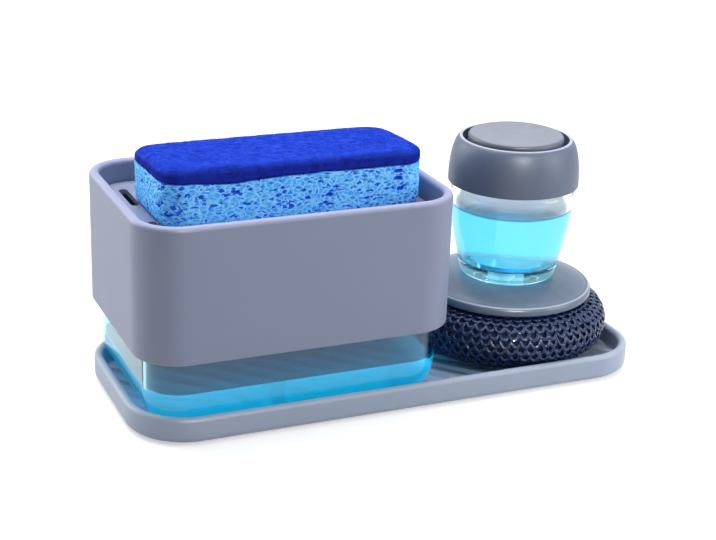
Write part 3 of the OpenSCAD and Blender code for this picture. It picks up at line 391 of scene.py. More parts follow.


# each finish's lighter edge colour shows rubbing and is also a painted highlight
mouldedFinishes = {
    "trayPlastic": {"nodes": ["drip_tray"], "colour": (156, 168, 189), "rubbedAndHighlit": (184, 194, 211),
                    "rough": 0.42, "drift": 0.05, "grain": 2400.0, "bump": 0.35, "edge": 0.5, "wearAndHighlight": 0.25,
                    "dust": 0.06},
    # painted highlight on the housing's faces that look up, such as its rim
    "housingPlastic": {"nodes": ["pump_housing"], "colour": (125, 132, 158), "rubbedAndHighlit": (166, 172, 198),
                       "rough": 0.46, "drift": 0.04, "grain": 2600.0, "bump": 0.4, "edge": 0.5, "wearAndHighlight": 0.3,
                       "dust": 0.06, "crown": (0.35, 0.8, 3.0), "crownColour": (149, 156, 190)},
    "platePlastic": {"nodes": ["press_plate"], "colour": (146, 153, 178), "rubbedAndHighlit": (178, 184, 206),
                     "rough": 0.3, "drift": 0.05, "grain": 2600.0, "bump": 0.2, "edge": 0.4, "wearAndHighlight": 0.5,
                     "dust": 0.05},
    # painted highlight on the cap's rim
    "capPlastic": {"nodes": ["scrubber_cap"], "colour": (84, 96, 119), "rubbedAndHighlit": (132, 143, 165),
                   "rough": 0.46, "drift": 0.05, "grain": 2400.0, "bump": 0.3, "edge": 0.6, "wearAndHighlight": 0.5,
                   "dust": 0.06, "crown": (0.8, 0.96, 3.0), "crownColour": (170, 178, 196)},
    # painted shade on the button's rounded edge
    "buttonPlastic": {"nodes": ["push_button"], "colour": (117, 122, 139), "rubbedAndHighlit": (146, 152, 170),
                      "rough": 0.4, "drift": 0.04, "grain": 2400.0, "bump": 0.3, "edge": 0.4, "wearAndHighlight": 0.4,
                      "dust": 0.05, "crown": (0.1, 0.6, 0.97), "crownColour": (78, 84, 102)},
    # painted highlight as a pale line along the rounded edges of the disc and nut
    "discPlastic": {"nodes": ["scrubber_disc", "clamp_nut"], "colour": (90, 107, 128),
                    "rubbedAndHighlit": (150, 162, 180), "rough": 0.33, "drift": 0.06, "grain": 2400.0, "bump": 0.12,
                    "edge": 0.5, "wearAndHighlight": 0.4, "dust": 0.05, "crown": (0.62, 0.78, 0.93),
                    "crownColour": (176, 188, 204)},
    "footRubber": {"nodes": ["tray_feet"], "colour": (58, 62, 72), "rubbedAndHighlit": (84, 88, 98), "rough": 0.8,
                   "drift": 0.12, "grain": 1800.0, "bump": 0.6, "edge": 0.3, "wearAndHighlight": 0.4, "dust": 0.1},
    "sealSilicone": {"nodes": ["tank_seal", "barrel_gasket", "pump_piston", "outlet_valve", "cap_gasket",
                               "umbrella_valve", "air_piston"],
                     "colour": (176, 206, 220), "rubbedAndHighlit": (200, 222, 232), "rough": 0.5, "drift": 0.08,
                     "grain": 2000.0, "bump": 0.3, "edge": 0.3, "wearAndHighlight": 0.3, "dust": 0.02},
    "palePlastic": {"nodes": ["pump_collar", "pump_stem"], "colour": (206, 212, 226),
                    "rubbedAndHighlit": (226, 230, 240), "rough": 0.4, "drift": 0.05, "grain": 2400.0, "bump": 0.3,
                    "edge": 0.3, "wearAndHighlight": 0.4, "dust": 0.03},
    "springSteel": {"nodes": ["pump_spring", "button_spring", "inlet_ball", "outlet_ball"],
                    "colour": (184, 186, 192), "rubbedAndHighlit": (214, 214, 218), "rough": 0.24, "drift": 0.1,
                    "grain": 3000.0, "bump": 0.15, "edge": 0.1, "wearAndHighlight": 0.3, "dust": 0.0, "metal": 1.0},
}
clearFinishes = {
    "clearPlastic": {"nodes": ["pump_barrel", "dip_tube"],
                     "colour": (150, 192, 208), "ior": 1.47, "through": 1.0, "rough": 0.0, "drift": 0.01,
                     "grain": 300.0, "bump": 0.05, "passing": (240, 250, 253)},
    # bottle: painted light glows in its base and on its wall over the soap, and its base takes a tint as
    # painted light
    "bottlePlastic": {"nodes": ["soap_bottle"],
                      "colour": (250, 254, 255), "ior": 1.32, "through": 1.0, "rough": 0.0, "drift": 0.01,
                      "grain": 300.0, "bump": 0.05, "passing": (240, 250, 253), "soap": "bottle_soap",
                      "glow": 0.4, "paintedBaseLight": (150, 232, 250), "paintedBaseTint": (226, 250, 255),
                      "paintedWallLight": (112, 140, 154), "paintedUpperWallLight": (244, 248, 250)},
    "tankPlastic": {"nodes": ["soap_tank"],
                    "colour": (168, 232, 243), "ior": 1.47, "through": 1.0, "rough": 0.0, "drift": 0.01,
                    "grain": 300.0, "bump": 0.05, "passing": (226, 246, 250)},
    # tank soap: painted light on its sides and painted shade on its top face
    "tankSoap": {"nodes": ["tank_soap"], "colour": (60, 196, 236), "ior": 1.34, "through": 0.8,
                 "rough": 0.12, "drift": 0.05, "grain": 200.0, "bump": 0.05, "passing": (150, 214, 240),
                 "glow": 0.3, "sideGlow": (20, 206, 240), "paintedShadeTop": (30, 150, 170)},
    # bottle soap: painted shade on its top face and painted shade lines where it meets the wall
    "bottleSoap": {"nodes": ["bottle_soap"], "colour": (104, 213, 249), "ior": 1.34, "through": 0.94,
                   "rough": 0.02, "drift": 0.03, "grain": 200.0, "bump": 0.05, "passing": (190, 240, 252),
                   "paintedShadeTop": (118, 160, 178), "paintedShadeLines": (8, 72, 100), "lineWidth": 1.5},
}


def dress(nodeNames, mat):
    for nodeName in nodeNames:
        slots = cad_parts[nodeName].data.materials
        for i in range(len(slots)):
            slots[i] = mat


for name, look in mouldedFinishes.items():
    dress(look["nodes"], mouldedFinish(name, look))
for name, look in clearFinishes.items():
    dress(look["nodes"], clearFinish(name, look))
print("finishes set:", len(mouldedFinishes) + len(clearFinishes))


# Soap wets the walls that hold it, so its faces reach a little into them

soapLook = {"nodes": ["tank_soap", "bottle_soap"], "reach": 0.25 * mm, "weld": 0.002 * mm}

for nodeName in soapLook["nodes"]:
    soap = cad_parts[nodeName]
    weld = soap.modifiers.new("weld", "WELD")
    weld.merge_threshold = soapLook["weld"]
    wet = soap.modifiers.new("wet", "DISPLACE")
    wet.strength = soapLook["reach"]
    wet.mid_level = 0.0
print("soap fills the tank and the bottle")


# Sponge: cellulose block with a scouring pad bonded on it

def boxGrid(counts):
    # points as shares of a box from -1 to 1, and the quads of its surface
    nx, ny, nz = counts
    index = {}
    points = []
    quads = []

    def at(i, j, k):
        key = (i, j, k)
        if key not in index:
            index[key] = len(points)
            points.append((2 * i / nx - 1, 2 * j / ny - 1, 2 * k / nz - 1))
        return index[key]

    for i in range(nx):
        for j in range(ny):
            quads.append((at(i, j, 0), at(i, j + 1, 0), at(i + 1, j + 1, 0), at(i + 1, j, 0)))
            quads.append((at(i, j, nz), at(i + 1, j, nz), at(i + 1, j + 1, nz), at(i, j + 1, nz)))
    for k in range(nz):
        for i in range(nx):
            quads.append((at(i, 0, k), at(i + 1, 0, k), at(i + 1, 0, k + 1), at(i, 0, k + 1)))
            quads.append((at(i, ny, k), at(i, ny, k + 1), at(i + 1, ny, k + 1), at(i + 1, ny, k)))
        for j in range(ny):
            quads.append((at(0, j, k), at(0, j, k + 1), at(0, j + 1, k + 1), at(0, j + 1, k)))
            quads.append((at(nx, j, k), at(nx, j + 1, k), at(nx, j + 1, k + 1), at(nx, j, k + 1)))
    return np.array(points), quads


def roundBlock(shares, half, cornerR, topR, bottomR):
    # rounds the upright corners of a box by cornerR, and its top and bottom edges
    edgeR = np.where(shares[:, 2] > 0, topR, bottomR)
    side = shares[:, :2] * half[:2]
    core = half[:2] - cornerR
    over = np.clip((np.abs(side) - core) / cornerR, 0, 1)
    reach = over * np.sqrt(1 - over[:, ::-1] ** 2 / 2)
    plan = np.where(over > 0, core + cornerR * reach, np.abs(side)) * np.sign(side)
    beyond = np.abs(plan) - core
    both = (beyond > 0).all(axis=1)
    length = np.linalg.norm(beyond, axis=1)
    inward = cornerR - np.where(both, length, beyond.max(axis=1))
    wide = beyond[:, 0] >= beyond[:, 1]
    normal = np.where(both[:, None], beyond / np.maximum(length, 1e-9)[:, None],
                      np.stack([wide, ~wide], 1).astype(float)) * np.sign(plan)
    out = np.clip(1 - inward / edgeR, 0, 1)
    z = shares[:, 2] * half[2]
    upFrom = np.minimum(edgeR, half[2])
    up = np.clip(1 - (half[2] - np.abs(z)) / upFrom, 0, 1)
    shift = edgeR * out * (np.sqrt(1 - up ** 2 / 2) - 1)
    level = np.where(up > 0, half[2] - upFrom + upFrom * up * np.sqrt(1 - out ** 2 / 2), np.abs(z))
    return np.column_stack([plan + normal * shift[:, None], level * np.sign(z)])


seedShift = (3.7, 1.3, 7.1)      # each seed reads the noise this far from the one before


def field(points, layers):
    # smooth noise at each point: layers of height, size of its features, and seed
    total = np.zeros(len(points))
    for height, size, seed in layers:
        shift = Vector([seed * share for share in seedShift])
        total += height * np.array([noise.noise(Vector(p) / size + shift) for p in points])
    return total


def pointTree(points):
    tree = kdtree.KDTree(len(points))
    for i, p in enumerate(points):
        tree.insert(p, i)
    tree.balance()
    return tree


spongeLook = {
    "cornerR": 10 * mm, "step": 0.55 * mm,
    "padR": 3.0 * mm, "seamR": 0.7 * mm, "soleR": 2.6 * mm,     # edges of the pad, the bond and the foam
    "seamWaves": [(0.75 * mm, 26 * mm, 2), (0.375 * mm, 7 * mm, 3)],      # how the bond line wanders
    "seamDip": 1.0 * mm, "seamDipFrom": 30 * mm, "seamDipWide": 13 * mm,
    "seamBack": 1.3 * mm, "slumpBack": 1.6 * mm, "slumpEnds": 0.7 * mm,   # pressed down by use
    "shrink": 0.15 * mm,         # room left inside the solid for ridges
    "ridges": [(0.08 * mm, 0.9 * mm, 4), (0.14 * mm, 3.5 * mm, 6)],
    "padRidges": [(0.02 * mm, 0.8 * mm, 7), (0.03 * mm, 2.6 * mm, 8)],
    "padSink": 0.12 * mm,        # room left on the pad for its fibres
    "poreSeed": 5,
    "pores": [                   # count, radius in mm from and to, how flat, depth for its radius
        (80, 1.0, 1.8, 0.55, 0.8), (700, 0.45, 0.95, 0.55, 1.1), (1500, 0.28, 0.45, 0.65, 1.2)],
    "poreVary": (0.75, 1.25),    # share of that flatness, from and to
    "poreWide": 1.25, "poreLean": 0.15, "poreSteep": 1.6,
    "poreReach": 1.6,            # points are looked at this many radii round a pore
    "poreShade": (0.45, 1.6 * mm),    # least painted shade of a pore, and the radius that adds 1 to it
    "fibreSeed": 9, "fibres": 5200, "fibreR": 0.05 * mm, "fibreSides": 3, "fibreSteps": 5,
    "fibreL": 5.5 * mm, "fibreLeast": 0.4,              # longest, and the shortest's share of it
    "fibreTurn": 0.6, "fibreCurl": 0.5,
    "fibreArch": 0.05 * mm, "fibreSink": 0.02 * mm,     # how far it bows up, and how deep its ends lie
    "fibreFrom": 0.4 * mm,       # none grows lower than this over the pad's lowest point
    "fibreGap": 0.1 * mm,        # one with two points closer than this is left out
}


def seamLevel(points):
    # height of the bond line over its flat place, the same for both layers
    look = spongeLook
    flat = np.column_stack([points[:, :2], np.zeros(len(points))])
    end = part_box("scour_pad")[0].x + look["seamDipFrom"]
    dip = look["seamDip"] * np.exp(-((points[:, 0] - end) / look["seamDipWide"]) ** 2)
    front, back = (corner.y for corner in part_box("scour_pad"))
    sunk = look["seamBack"] * np.clip((points[:, 1] - front) / (back - front), 0, 1) ** 2
    return field(flat, look["seamWaves"]) - dip - sunk


def blockPiece(name, node, topR, bottomR):
    low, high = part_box(node)
    low = np.array(low)
    high = np.array(high)
    half = (high - low) / 2 - spongeLook["shrink"]
    counts = [max(4, int(round(2 * h / spongeLook["step"]))) for h in half]
    shares, quads = boxGrid(counts)
    points = roundBlock(shares, half, spongeLook["cornerR"], topR, bottomR) + (low + high) / 2
    return meshPiece(name, points, quads), points, shares


def makeSponge():
    look = spongeLook
    rng = random.Random(look["poreSeed"])
    piece, points, shares = blockPiece("spongeCellulose", "sponge_body", look["seamR"], look["soleR"])
    points[:, 2] += seamLevel(points) * np.clip((shares[:, 2] + 1) / 2, 0, 1) ** 3
    setPoints(piece, points)
    normals = vertexNormals(piece)
    tree = pointTree(points)
    depth = np.zeros(len(points))
    # painted shade inside each modelled pore, darker towards its middle and for larger pores
    hollow = np.zeros(len(points))
    sides = np.nonzero(np.abs(shares[:, 2]) < 0.99)[0]             # all but the flat top and bottom
    tone, fullR = look["poreShade"]
    for count, small, big, flat, deep in look["pores"]:
        for _ in range(count):
            centre = points[sides[rng.randrange(len(sides))]]
            radius = (small + (big - small) * rng.random() ** 2) * mm
            squeeze = flat * rng.uniform(*look["poreVary"])
            lean = rng.uniform(-look["poreLean"], look["poreLean"])
            for spot, i, _gap in tree.find_range(centre, radius * look["poreReach"]):
                d = np.array(spot) - centre
                across = math.hypot(d[0], d[1])
                rise = d[2] - lean * across
                r = math.hypot(across / (radius * look["poreWide"]), rise / (radius * squeeze))
                if r < 1:
                    bowl = min(1.0, look["poreSteep"] * (1 - r * r))
                    depth[i] = max(depth[i], bowl * radius * deep)
                    hollow[i] = max(hollow[i], min(1.0, bowl * (tone + radius / fullR)))
    ridge = field(points, look["ridges"])
    setPoints(piece, points + normals * (ridge - depth)[:, None])
    setMask(piece, "hollow", hollow)
    return piece


def makeScourPad():
    look = spongeLook
    piece, points, shares = blockPiece("scourPadCore", "scour_pad", look["padR"], look["seamR"])
    points[:, 2] += seamLevel(points) * np.clip((1 - shares[:, 2]) / 2, 0, 1)
    slump = (look["slumpBack"] + look["seamBack"]) * ((1 + shares[:, 1]) / 2) ** 2
    slump += look["slumpEnds"] * shares[:, 0] ** 8
    points[:, 2] -= slump * (1 + shares[:, 2]) / 2
    setPoints(piece, points)
    normals = vertexNormals(piece)
    ridge = field(points, look["padRidges"])
    setPoints(piece, points + normals * (ridge - look["padSink"])[:, None])
    setMask(piece, "facing", normals[:, 2])
    return piece, points, normals


def tube(path, normals, radius, sides, wide=1.0):
    # a closed tube along path; wide stretches it across the normals
    path = np.asarray(path)
    steps = np.gradient(path, axis=0)
    steps /= np.linalg.norm(steps, axis=1)[:, None]
    across = np.cross(steps, normals)
    across /= np.linalg.norm(across, axis=1)[:, None]
    lift = np.cross(across, steps)
    turns = [2 * math.pi * s / sides for s in range(sides)]
    rings = [path + (wide * math.cos(t) * across + math.sin(t) * lift) * radius for t in turns]
    points = np.stack(rings, 1).reshape(-1, 3)
    faces = []
    for i in range(len(path) - 1):
        for s in range(sides):
            t = (s + 1) % sides
            faces.append((i * sides + s, i * sides + t, (i + 1) * sides + t, (i + 1) * sides + s))
    faces.append(tuple(range(sides))[::-1])
    faces.append(tuple((len(path) - 1) * sides + s for s in range(sides)))
    return points, faces


def gather(parts):
    # joins lists of points and faces
    points = []
    faces = []
    start = 0
    for some, quads in parts:
        points.append(some)
        faces += [tuple(start + i for i in q) for q in quads]
        start += len(some)
    return np.concatenate(points), faces


def makeScourFibres(points, normals):
    look = spongeLook
    rng = random.Random(look["fibreSeed"])
    tree = pointTree(points)
    steps = look["fibreSteps"]
    outer = np.nonzero(points[:, 2] > points[:, 2].min() + look["fibreFrom"])[0]
    parts = []
    facing = []
    for _ in range(look["fibres"]):
        i = outer[rng.randrange(len(outer))]
        at = Vector(points[i])
        up = Vector(normals[i])
        along = Vector((1, 0, 0)) if abs(up.x) < 0.8 else Vector((0, 1, 0))
        run = (along - up * along.dot(up)).normalized()
        run.rotate(Matrix.Rotation(rng.gauss(0, look["fibreTurn"]), 3, up))
        length = look["fibreL"] * rng.uniform(look["fibreLeast"], 1.0)
        curl = rng.uniform(-look["fibreCurl"], look["fibreCurl"])
        path = []
        ups = []
        for step in range(steps + 1):
            arch = look["fibreArch"] * math.sin(math.pi * step / steps) - look["fibreSink"]
            path.append(np.array(at + up * arch))
            ups.append(np.array(up))
            run.rotate(Matrix.Rotation(curl, 3, up))
            at, j, _gap = tree.find(at + run * length / steps)
            up = Vector(normals[j])
        gaps = np.linalg.norm(np.diff(path, axis=0), axis=1)
        if gaps.min() > look["fibreGap"]:
            parts.append(tube(path, np.array(ups), look["fibreR"], look["fibreSides"]))
            facing += [u[2] for u in ups for _side in range(look["fibreSides"])]
    points, faces = gather(parts)
    piece = meshPiece("scourPadFibres", points, faces)
    setMask(piece, "facing", facing)
    return piece


foamLook = {
    "colour": (78, 184, 255), "drift": 0.1, "driftScale": 120.0, "cellScale": 350.0, "cellFlatten": 1.6,
    "sunk": (10, 86, 222), "cellShadeShare": 0.95,           # painted shade in cells that lie open
    "cellShadeCells": (0.62, 0.8), "cellShadeWalls": (0.0, 0.6, 1.0, 0.0),
    "wallHighlight": (164, 234, 255), "wallHighlightShare": 0.72,         # painted highlight on the walls between cells
    "deep": (8, 74, 206), "poreShadeFrom": (0.25, 0.75),     # painted shade inside the modelled pores
    "paintedGlowColour": (60, 160, 255), "glow": 0.16,         # painted light: the foam glows, standing in for light scattered inside the dyed foam
    "ior": 1.4, "shine": 0.3, "scatter": 0.12, "scatterReach": 2.0 * mm,
    "rough": (0.85, 0.6), "bump": 0.45, "bumpDepth": 0.25 * mm,
}


def spongeFinish():
    look = foamLook
    mat, tree, shader = newMaterial("cellulose", {
        "IOR": look["ior"], "Specular IOR Level": look["shine"], "Subsurface Weight": look["scatter"],
        "Subsurface Scale": look["scatterReach"], "Emission Strength": look["glow"]})
    walls = place(tree, cellWalls, {"Scale": look["cellScale"], "Flatten": look["cellFlatten"]})
    hollow = add(tree, "ShaderNodeAttribute", attribute_name="hollow").outputs["Fac"]
    tone = place(tree, toneDrift, {"Colour": linear(look["colour"]), "Drift": look["drift"],
                                   "Scale": look["driftScale"]})
    # painted shade in cells that lie open
    sunk = maths(tree, "MULTIPLY", ramp(tree, walls["Cell"], *look["cellShadeCells"]),
                 ramp(tree, walls["Wall"], *look["cellShadeWalls"]))
    celled = blendColour(tree, maths(tree, "MULTIPLY", sunk, look["cellShadeShare"]), tone["Colour"],
                         linear(look["sunk"]))
    # painted highlight on the walls between cells
    wallHighlit = blendColour(tree, maths(tree, "MULTIPLY", walls["Wall"], look["wallHighlightShare"]), celled,
                         linear(look["wallHighlight"]))
    # painted shade inside the modelled pores
    deep = blendColour(tree, ramp(tree, hollow, *look["poreShadeFrom"]), wallHighlit, linear(look["deep"]))
    bump = add(tree, "ShaderNodeBump", {"Height": walls["Height"], "Strength": look["bump"],
                                        "Distance": look["bumpDepth"]})
    # painted light: emission in the foam's own colour
    paintedGlow = blendColour(tree, 1.0, deep, linear(look["paintedGlowColour"]), how="MULTIPLY")
    tree.links.new(deep, shader.inputs["Base Color"])
    tree.links.new(paintedGlow, shader.inputs["Emission Color"])
    tree.links.new(ramp(tree, walls["Wall"], 0.0, 1.0, *look["rough"]), shader.inputs["Roughness"])
    tree.links.new(bump.outputs[0], shader.inputs["Normal"])
    return mat


def fibreFinish(name, look):
    # short fibres or filaments, in two tones
    mat, tree, shader = newMaterial(name, look["sockets"])
    fibre = place(tree, fibreField, {"Scale": look["scale"]})
    tone = place(tree, toneDrift, {"Colour": linear(look["colour"]), "Drift": look["drift"],
                                   "Scale": look["driftScale"]})
    colour = blendColour(tree, maths(tree, "MULTIPLY", fibre["Mask"], look["paleShare"]), tone["Colour"],
                         linear(look["pale"]))
    if "side" in look:               # painted shade: upright faces are darker than those on top
        facing = add(tree, "ShaderNodeAttribute", attribute_name="facing").outputs["Fac"]
        colour = blendColour(tree, ramp(tree, facing, *look["sideShadeFrom"]), linear(look["side"]), colour)
    if "bump" in look:
        bump = add(tree, "ShaderNodeBump", {"Height": fibre["Height"], "Strength": look["bump"],
                                            "Distance": look["bumpDepth"]})
        tree.links.new(bump.outputs[0], shader.inputs["Normal"])
    tree.links.new(colour, shader.inputs["Base Color"])
    tree.links.new(ramp(tree, fibre["Mask"], 0.0, 1.0, *look["rough"]), shader.inputs["Roughness"])
    return mat


scourFibreLook = {
    "sockets": {"IOR": 1.4, "Specular IOR Level": 0.15},
    "colour": (14, 52, 184), "pale": (30, 78, 212), "paleShare": 0.4,
    # painted shade on the pad's upright faces
    "side": (5, 26, 150), "sideShadeFrom": (-0.3, 0.9),
    "scale": 900.0, "drift": 0.1, "driftScale": 90.0,
    "rough": (0.9, 0.7), "bump": 0.25, "bumpDepth": 0.2 * mm,
}

sponge = makeSponge()
sponge.data.materials.append(spongeFinish())
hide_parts("sponge_body")
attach(sponge, "sponge")
scourPad, padPoints, padNormals = makeScourPad()
scourMaterial = fibreFinish("scouringFibre", scourFibreLook)
scourPad.data.materials.append(scourMaterial)
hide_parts("scour_pad")
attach(scourPad, "sponge")
scourFibres = makeScourFibres(padPoints, padNormals)
scourFibres.data.materials.append(scourMaterial)
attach(scourFibres, "sponge")
print("sponge made:", len(sponge.data.polygons), "foam faces,", len(scourPad.data.polygons),
      "pad faces,", len(scourFibres.data.polygons), "fibre faces")


# Scourer: a soft roll under a knit of flat filament loops

scourerLook = {
    "inset": 1.1 * mm,        # the roll lies this far inside the solid, under the loops
    "power": 2.2,             # how square the roll's section is
    "rollSteps": 150, "sectionSteps": 64, "dent": 0.35 * mm, "dentSize": 9 * mm,
    "firstRow": 78, "lastRow": -151.5, "rowProbe": 0.5,     # degrees round the section, from under the disc
    "pitch": 4.6 * mm, "rowStep": 3.3 * mm, "leastLoops": 12,
    "loopSeed": 21, "loopSteps": 10, "loopSides": 5,
    "loopH": 3.0 * mm, "loopVary": 0.08, "loopDrop": 0.25 * mm, "loopShift": 0.006,
    "loopWide": 0.54,         # half of a loop's width as a share of the pitch, so that neighbours cross
    "sag": 0.45,              # how far a loop hangs below its row, as a share of its height
    "lift": 0.75 * mm, "liftPower": 0.7, "sinkShare": 0.45,
    "yarnR": 0.34 * mm, "yarnWide": 3.0,
    "proud": 1.1 * mm, "proudAngle": 0.25,                  # how far the belly's loops stand out, and where
    "lean": 0.22,             # how far each flat filament twists out of the surface
    "spanProbe": 3,           # degrees over which the section's length is taken
}


def measureRoll():
    # centre of the ring, radius of its middle, and half of its section's width and height
    low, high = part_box("mesh_scourer")
    outer = (high.x - low.x) / 2
    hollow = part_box("clamp_nut")
    inner = (hollow[1].x - hollow[0].x) / 2
    return (low + high) / 2, (outer + inner) / 2, (outer - inner) / 2, (high.z - low.z) / 2


rollSize = measureRoll()


def rollPoint(turn, angle, shrink):
    # point on the roll, its outward normal and its radius; angle goes round the section from outside
    centre, middle, wide, tall = rollSize
    power = 2 / scourerLook["power"]
    across = math.copysign(abs(math.cos(angle)) ** power, math.cos(angle))
    level = math.copysign(abs(math.sin(angle)) ** power, math.sin(angle))
    out = Vector((across / (wide - shrink), level / (tall - shrink))).normalized()
    r = middle + (wide - shrink) * across
    z = (tall - shrink) * level
    point = Vector((centre.x + r * math.cos(turn), centre.y + r * math.sin(turn), centre.z + z))
    normal = Vector((out.x * math.cos(turn), out.x * math.sin(turn), out.y))
    return point, normal, r


def makeRoll():
    look = scourerLook
    points = []
    faces = []
    n = look["rollSteps"]
    m = look["sectionSteps"]
    for i in range(n):
        turn = 2 * math.pi * i / n
        for j in range(m):
            point, normal, _r = rollPoint(turn, 2 * math.pi * j / m, look["inset"])
            dent = look["dent"] * noise.noise(point / look["dentSize"])
            points.append(point + normal * dent)
            a = i * m + j
            b = i * m + (j + 1) % m
            c = ((i + 1) % n) * m + (j + 1) % m
            d = ((i + 1) % n) * m + j
            faces.append((a, d, c, b))
    return np.array([tuple(p) for p in points]), faces


def sectionAngles():
    # angles round the section, one row of loops apart, from under the disc to the inner underside
    look = scourerLook
    probes = int(round((look["firstRow"] - look["lastRow"]) / look["rowProbe"])) + 1
    fine = [math.radians(look["firstRow"] - look["rowProbe"] * k) for k in range(probes)]
    rows = [fine[0]]
    gone = 0.0
    last = rollPoint(0, fine[0], 0)[0]
    for angle in fine[1:]:
        here = rollPoint(0, angle, 0)[0]
        gone += (here - last).length
        last = here
        if gone >= look["rowStep"]:
            rows.append(angle)
            gone = 0.0
    return rows


def makeLoops():
    look = scourerLook
    rng = random.Random(look["loopSeed"])
    parts = []
    steps = look["loopSteps"]
    probe = math.radians(look["spanProbe"])
    for row, angle in enumerate(sectionAngles()):
        here, _normal, r = rollPoint(0, angle, 0)
        count = max(look["leastLoops"], int(round(2 * math.pi * r / look["pitch"])))
        between = 2 * math.pi / count
        span = (rollPoint(0, angle + probe, 0)[0] - here).length / probe     # section's length for a radian
        for k in range(count):
            shift = rng.uniform(-look["loopShift"], look["loopShift"])
            middle = between * (k + 0.5 * (row % 2)) + shift     # every other row is half a loop on
            drop = rng.uniform(-look["loopDrop"], look["loopDrop"])
            tall = look["loopH"] * rng.uniform(1 - look["loopVary"], 1 + look["loopVary"])
            lean = Vector((rng.gauss(0, 1), rng.gauss(0, 1), rng.gauss(0, 1))) * look["lean"]
            path = []
            ups = []
            for s in range(steps + 1):
                t = s / steps
                side = -math.cos(math.pi * t)
                sag = math.sin(math.pi * t)
                turn = middle + side * look["loopWide"] * between
                rise = (tall * (1 - sag) - tall * look["sag"] * sag + drop) / span
                lift = look["lift"] * (sag ** look["liftPower"] - 1) - look["inset"] * look["sinkShare"]
                point, normal, _r = rollPoint(turn, angle + rise, look["yarnR"])
                belly = look["proud"] * max(0.0, math.cos(angle + rise - look["proudAngle"])) ** 2
                path.append(np.array(point + normal * (lift + belly)))
                ups.append(np.array((normal + lean).normalized()))
            ups = np.array(ups)
            parts.append(tube(path, ups, look["yarnR"], look["loopSides"], look["yarnWide"]))
    return parts


yarnLook = {
    "sockets": {"IOR": 1.5, "Specular IOR Level": 0.2, "Coat Weight": 0.25, "Coat Roughness": 0.05},
    "colour": (18, 38, 78), "pale": (40, 66, 118), "paleShare": 0.5,
    "scale": 1600.0, "drift": 0.25, "driftScale": 200.0,
    "rough": (0.28, 0.14), "bump": 0.3, "bumpDepth": 0.1 * mm,
}
rollLook = {
    "sockets": {"IOR": 1.45, "Specular IOR Level": 0.1},
    "colour": (28, 38, 66), "pale": (42, 54, 88), "paleShare": 0.4,
    "scale": 1200.0, "drift": 0.3, "driftScale": 160.0, "rough": (0.8, 0.55),
}

rollPoints, rollFaces = makeRoll()
roll = meshPiece("scourerRoll", rollPoints, rollFaces)
roll.data.materials.append(fibreFinish("rollCloth", rollLook))
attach(roll, "scrubber")
knitPoints, knitFaces = gather(makeLoops())
knit = meshPiece("scourerKnit", knitPoints, knitFaces)
knit.data.materials.append(fibreFinish("meshYarn", yarnLook))
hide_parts("mesh_scourer")
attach(knit, "scrubber")
print("scourer made:", len(roll.data.polygons), "roll faces,", len(knit.data.polygons), "loop faces")


# Springs: wound wires, each fastened to the body that holds it

springLook = {
    "turnSteps": 40, "sides": 8,
    "wires": {                       # joint that presses it, body that holds it, wire radius, curls
        "pump_spring": ("plate_press", "housing", 0.45 * mm, 5),
        "button_spring": ("button_press", "cap", 0.5 * mm, 2),
    },
}


def makeSpring(node, body, wireR, curls):
    low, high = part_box(node)
    middle = (low + high) / 2
    coilR = (high.x - low.x) / 2 - wireR
    steps = curls * springLook["turnSteps"]
    path = []
    outward = []
    for i in range(steps + 1):
        turn = 2 * math.pi * i / springLook["turnSteps"]
        out = np.array((math.cos(turn), math.sin(turn), 0.0))
        level = low.z + wireR + (high.z - low.z - 2 * wireR) * i / steps
        path.append(np.array((middle.x, middle.y, level)) + out * coilR)
        outward.append(out)
    points, faces = tube(path, np.array(outward), wireR, springLook["sides"])
    wire = meshPiece(node + "_wire", points, faces)
    wire.data.materials.append(bpy.data.materials["springSteel"])
    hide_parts(node)
    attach(wire, body)
    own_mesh(wire)


for node, (jointName, body, wireR, curls) in springLook["wires"].items():
    makeSpring(node, body, wireR, curls)
print("springs wound:", len(springLook["wires"]))


# Stage: pale floor, soft lamps, white surroundings

stageLook = {
    "floorSize": 9.0, "floorColour": 0.62, "floorGlow": 0.5,
    "aroundLight": 0.26,
    "lamps": {                       # place, aim, size and power of each soft lamp
        "topLamp": ((0.0, 0.25, 1.15), (0.0, 0.0, 0.03), (1.3, 1.0), 18.0),
        "leftLamp": ((-0.95, 1.0, 0.5), (-0.05, 0.0, 0.05), (0.9, 0.8), 10.5),
        "rightLamp": ((0.62, -0.5, 0.34), (0.05, 0.0, 0.05), (0.4, 0.5), 4.2),
        "glintLamp": ((-0.1, -0.75, 0.5), (0.05, 0.0, 0.03), (0.06, 0.06), 9.0),
    },
    "glintOnly": "glintLamp",        # gives no diffuse light
}


def seenDirectly(tree):
    # 1 for what the camera sees, also through glass and in gloss, and 0 for light on the object
    path = add(tree, "ShaderNodeLightPath").outputs
    through = maths(tree, "ADD", path["Is Camera Ray"], path["Is Transmission Ray"])
    return maths(tree, "ADD", through, path["Is Glossy Ray"], clamp=True)


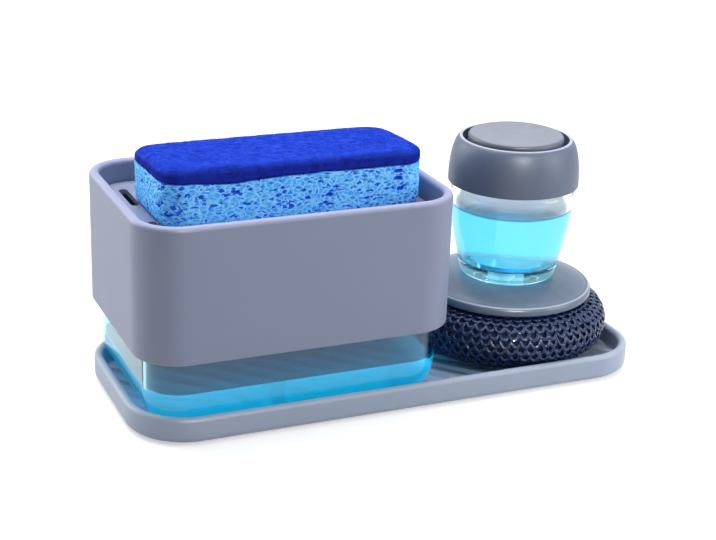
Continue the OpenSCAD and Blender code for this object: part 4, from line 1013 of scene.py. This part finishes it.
def makeFloor():
    half = stageLook["floorSize"] / 2
    corners = [(-half, -half, 0), (half, -half, 0), (half, half, 0), (-half, half, 0)]
    floor = meshPiece("paleFloor", corners, [(0, 1, 2, 3)], smooth=False)
    mat = bpy.data.materials.new("paleFloor")
    mat.use_nodes = True
    tree = mat.node_tree
    tree.nodes.remove(tree.nodes["Principled BSDF"])
    shade = stageLook["floorColour"]
    cover = add(tree, "ShaderNodeBsdfDiffuse", {"Color": (shade, shade, shade, 1)})
    strength = maths(tree, "MULTIPLY", seenDirectly(tree), stageLook["floorGlow"])
    glow = add(tree, "ShaderNodeEmission", {"Strength": strength})
    both = add(tree, "ShaderNodeAddShader", {0: cover.outputs[0], 1: glow.outputs[0]})
    tree.links.new(both.outputs[0], tree.nodes["Material Output"].inputs["Surface"])
    floor.data.materials.append(mat)


def makeWorld():
    world = bpy.data.worlds.new("softWhite")
    scene.world = world
    world.use_nodes = True
    tree = world.node_tree
    strength = ramp(tree, seenDirectly(tree), 0.0, 1.0, stageLook["aroundLight"], 1.0)
    back = tree.nodes["Background"]
    back.inputs["Color"].default_value = (1.0, 1.0, 1.0, 1.0)
    tree.links.new(strength, back.inputs["Strength"])


def makeLamps():
    for name, (at, aim, size, power) in stageLook["lamps"].items():
        lamp = bpy.data.lights.new(name, "AREA")
        lamp.shape = "RECTANGLE"
        lamp.size, lamp.size_y = size
        lamp.energy = power
        holder = bpy.data.objects.new(name, lamp)
        holder.location = at
        holder.rotation_euler = (Vector(aim) - Vector(at)).to_track_quat("-Z", "Y").to_euler()
        holder.visible_diffuse = name != stageLook["glintOnly"]
        scene.collection.objects.link(holder)


cameraView = {
    "azimuth": -24.083, "elevation": 20.782, "roll": 2.101,   # degrees
    "distance": 0.712206, "aside": -0.005255, "height": 0.048723,
    "focalPixels": 1543, "imageWidth": 716,
}


def makeCamera():
    turn, rise, roll = (math.radians(cameraView[key]) for key in ("azimuth", "elevation", "roll"))
    back = Vector((math.sin(turn) * math.cos(rise), -math.cos(turn) * math.cos(rise), math.sin(rise)))
    right = Vector((math.cos(turn), math.sin(turn), 0))
    up = back.cross(right)
    side = right * math.cos(roll) + up * math.sin(roll)
    top = up * math.cos(roll) - right * math.sin(roll)
    target = right * cameraView["aside"] + Vector((0, 0, cameraView["height"]))
    lens = bpy.data.cameras.new("photoView")
    lens.sensor_width = 36
    lens.lens = cameraView["focalPixels"] * lens.sensor_width / cameraView["imageWidth"]
    camera = bpy.data.objects.new("photoView", lens)
    matrix = Matrix((side, top, back)).transposed().to_4x4()
    matrix.translation = target + back * cameraView["distance"]
    camera.matrix_world = matrix
    scene.collection.objects.link(camera)
    scene.camera = camera


makeFloor()
makeWorld()
makeLamps()
makeCamera()
scene.view_settings.view_transform = "Standard"
print("stage set")
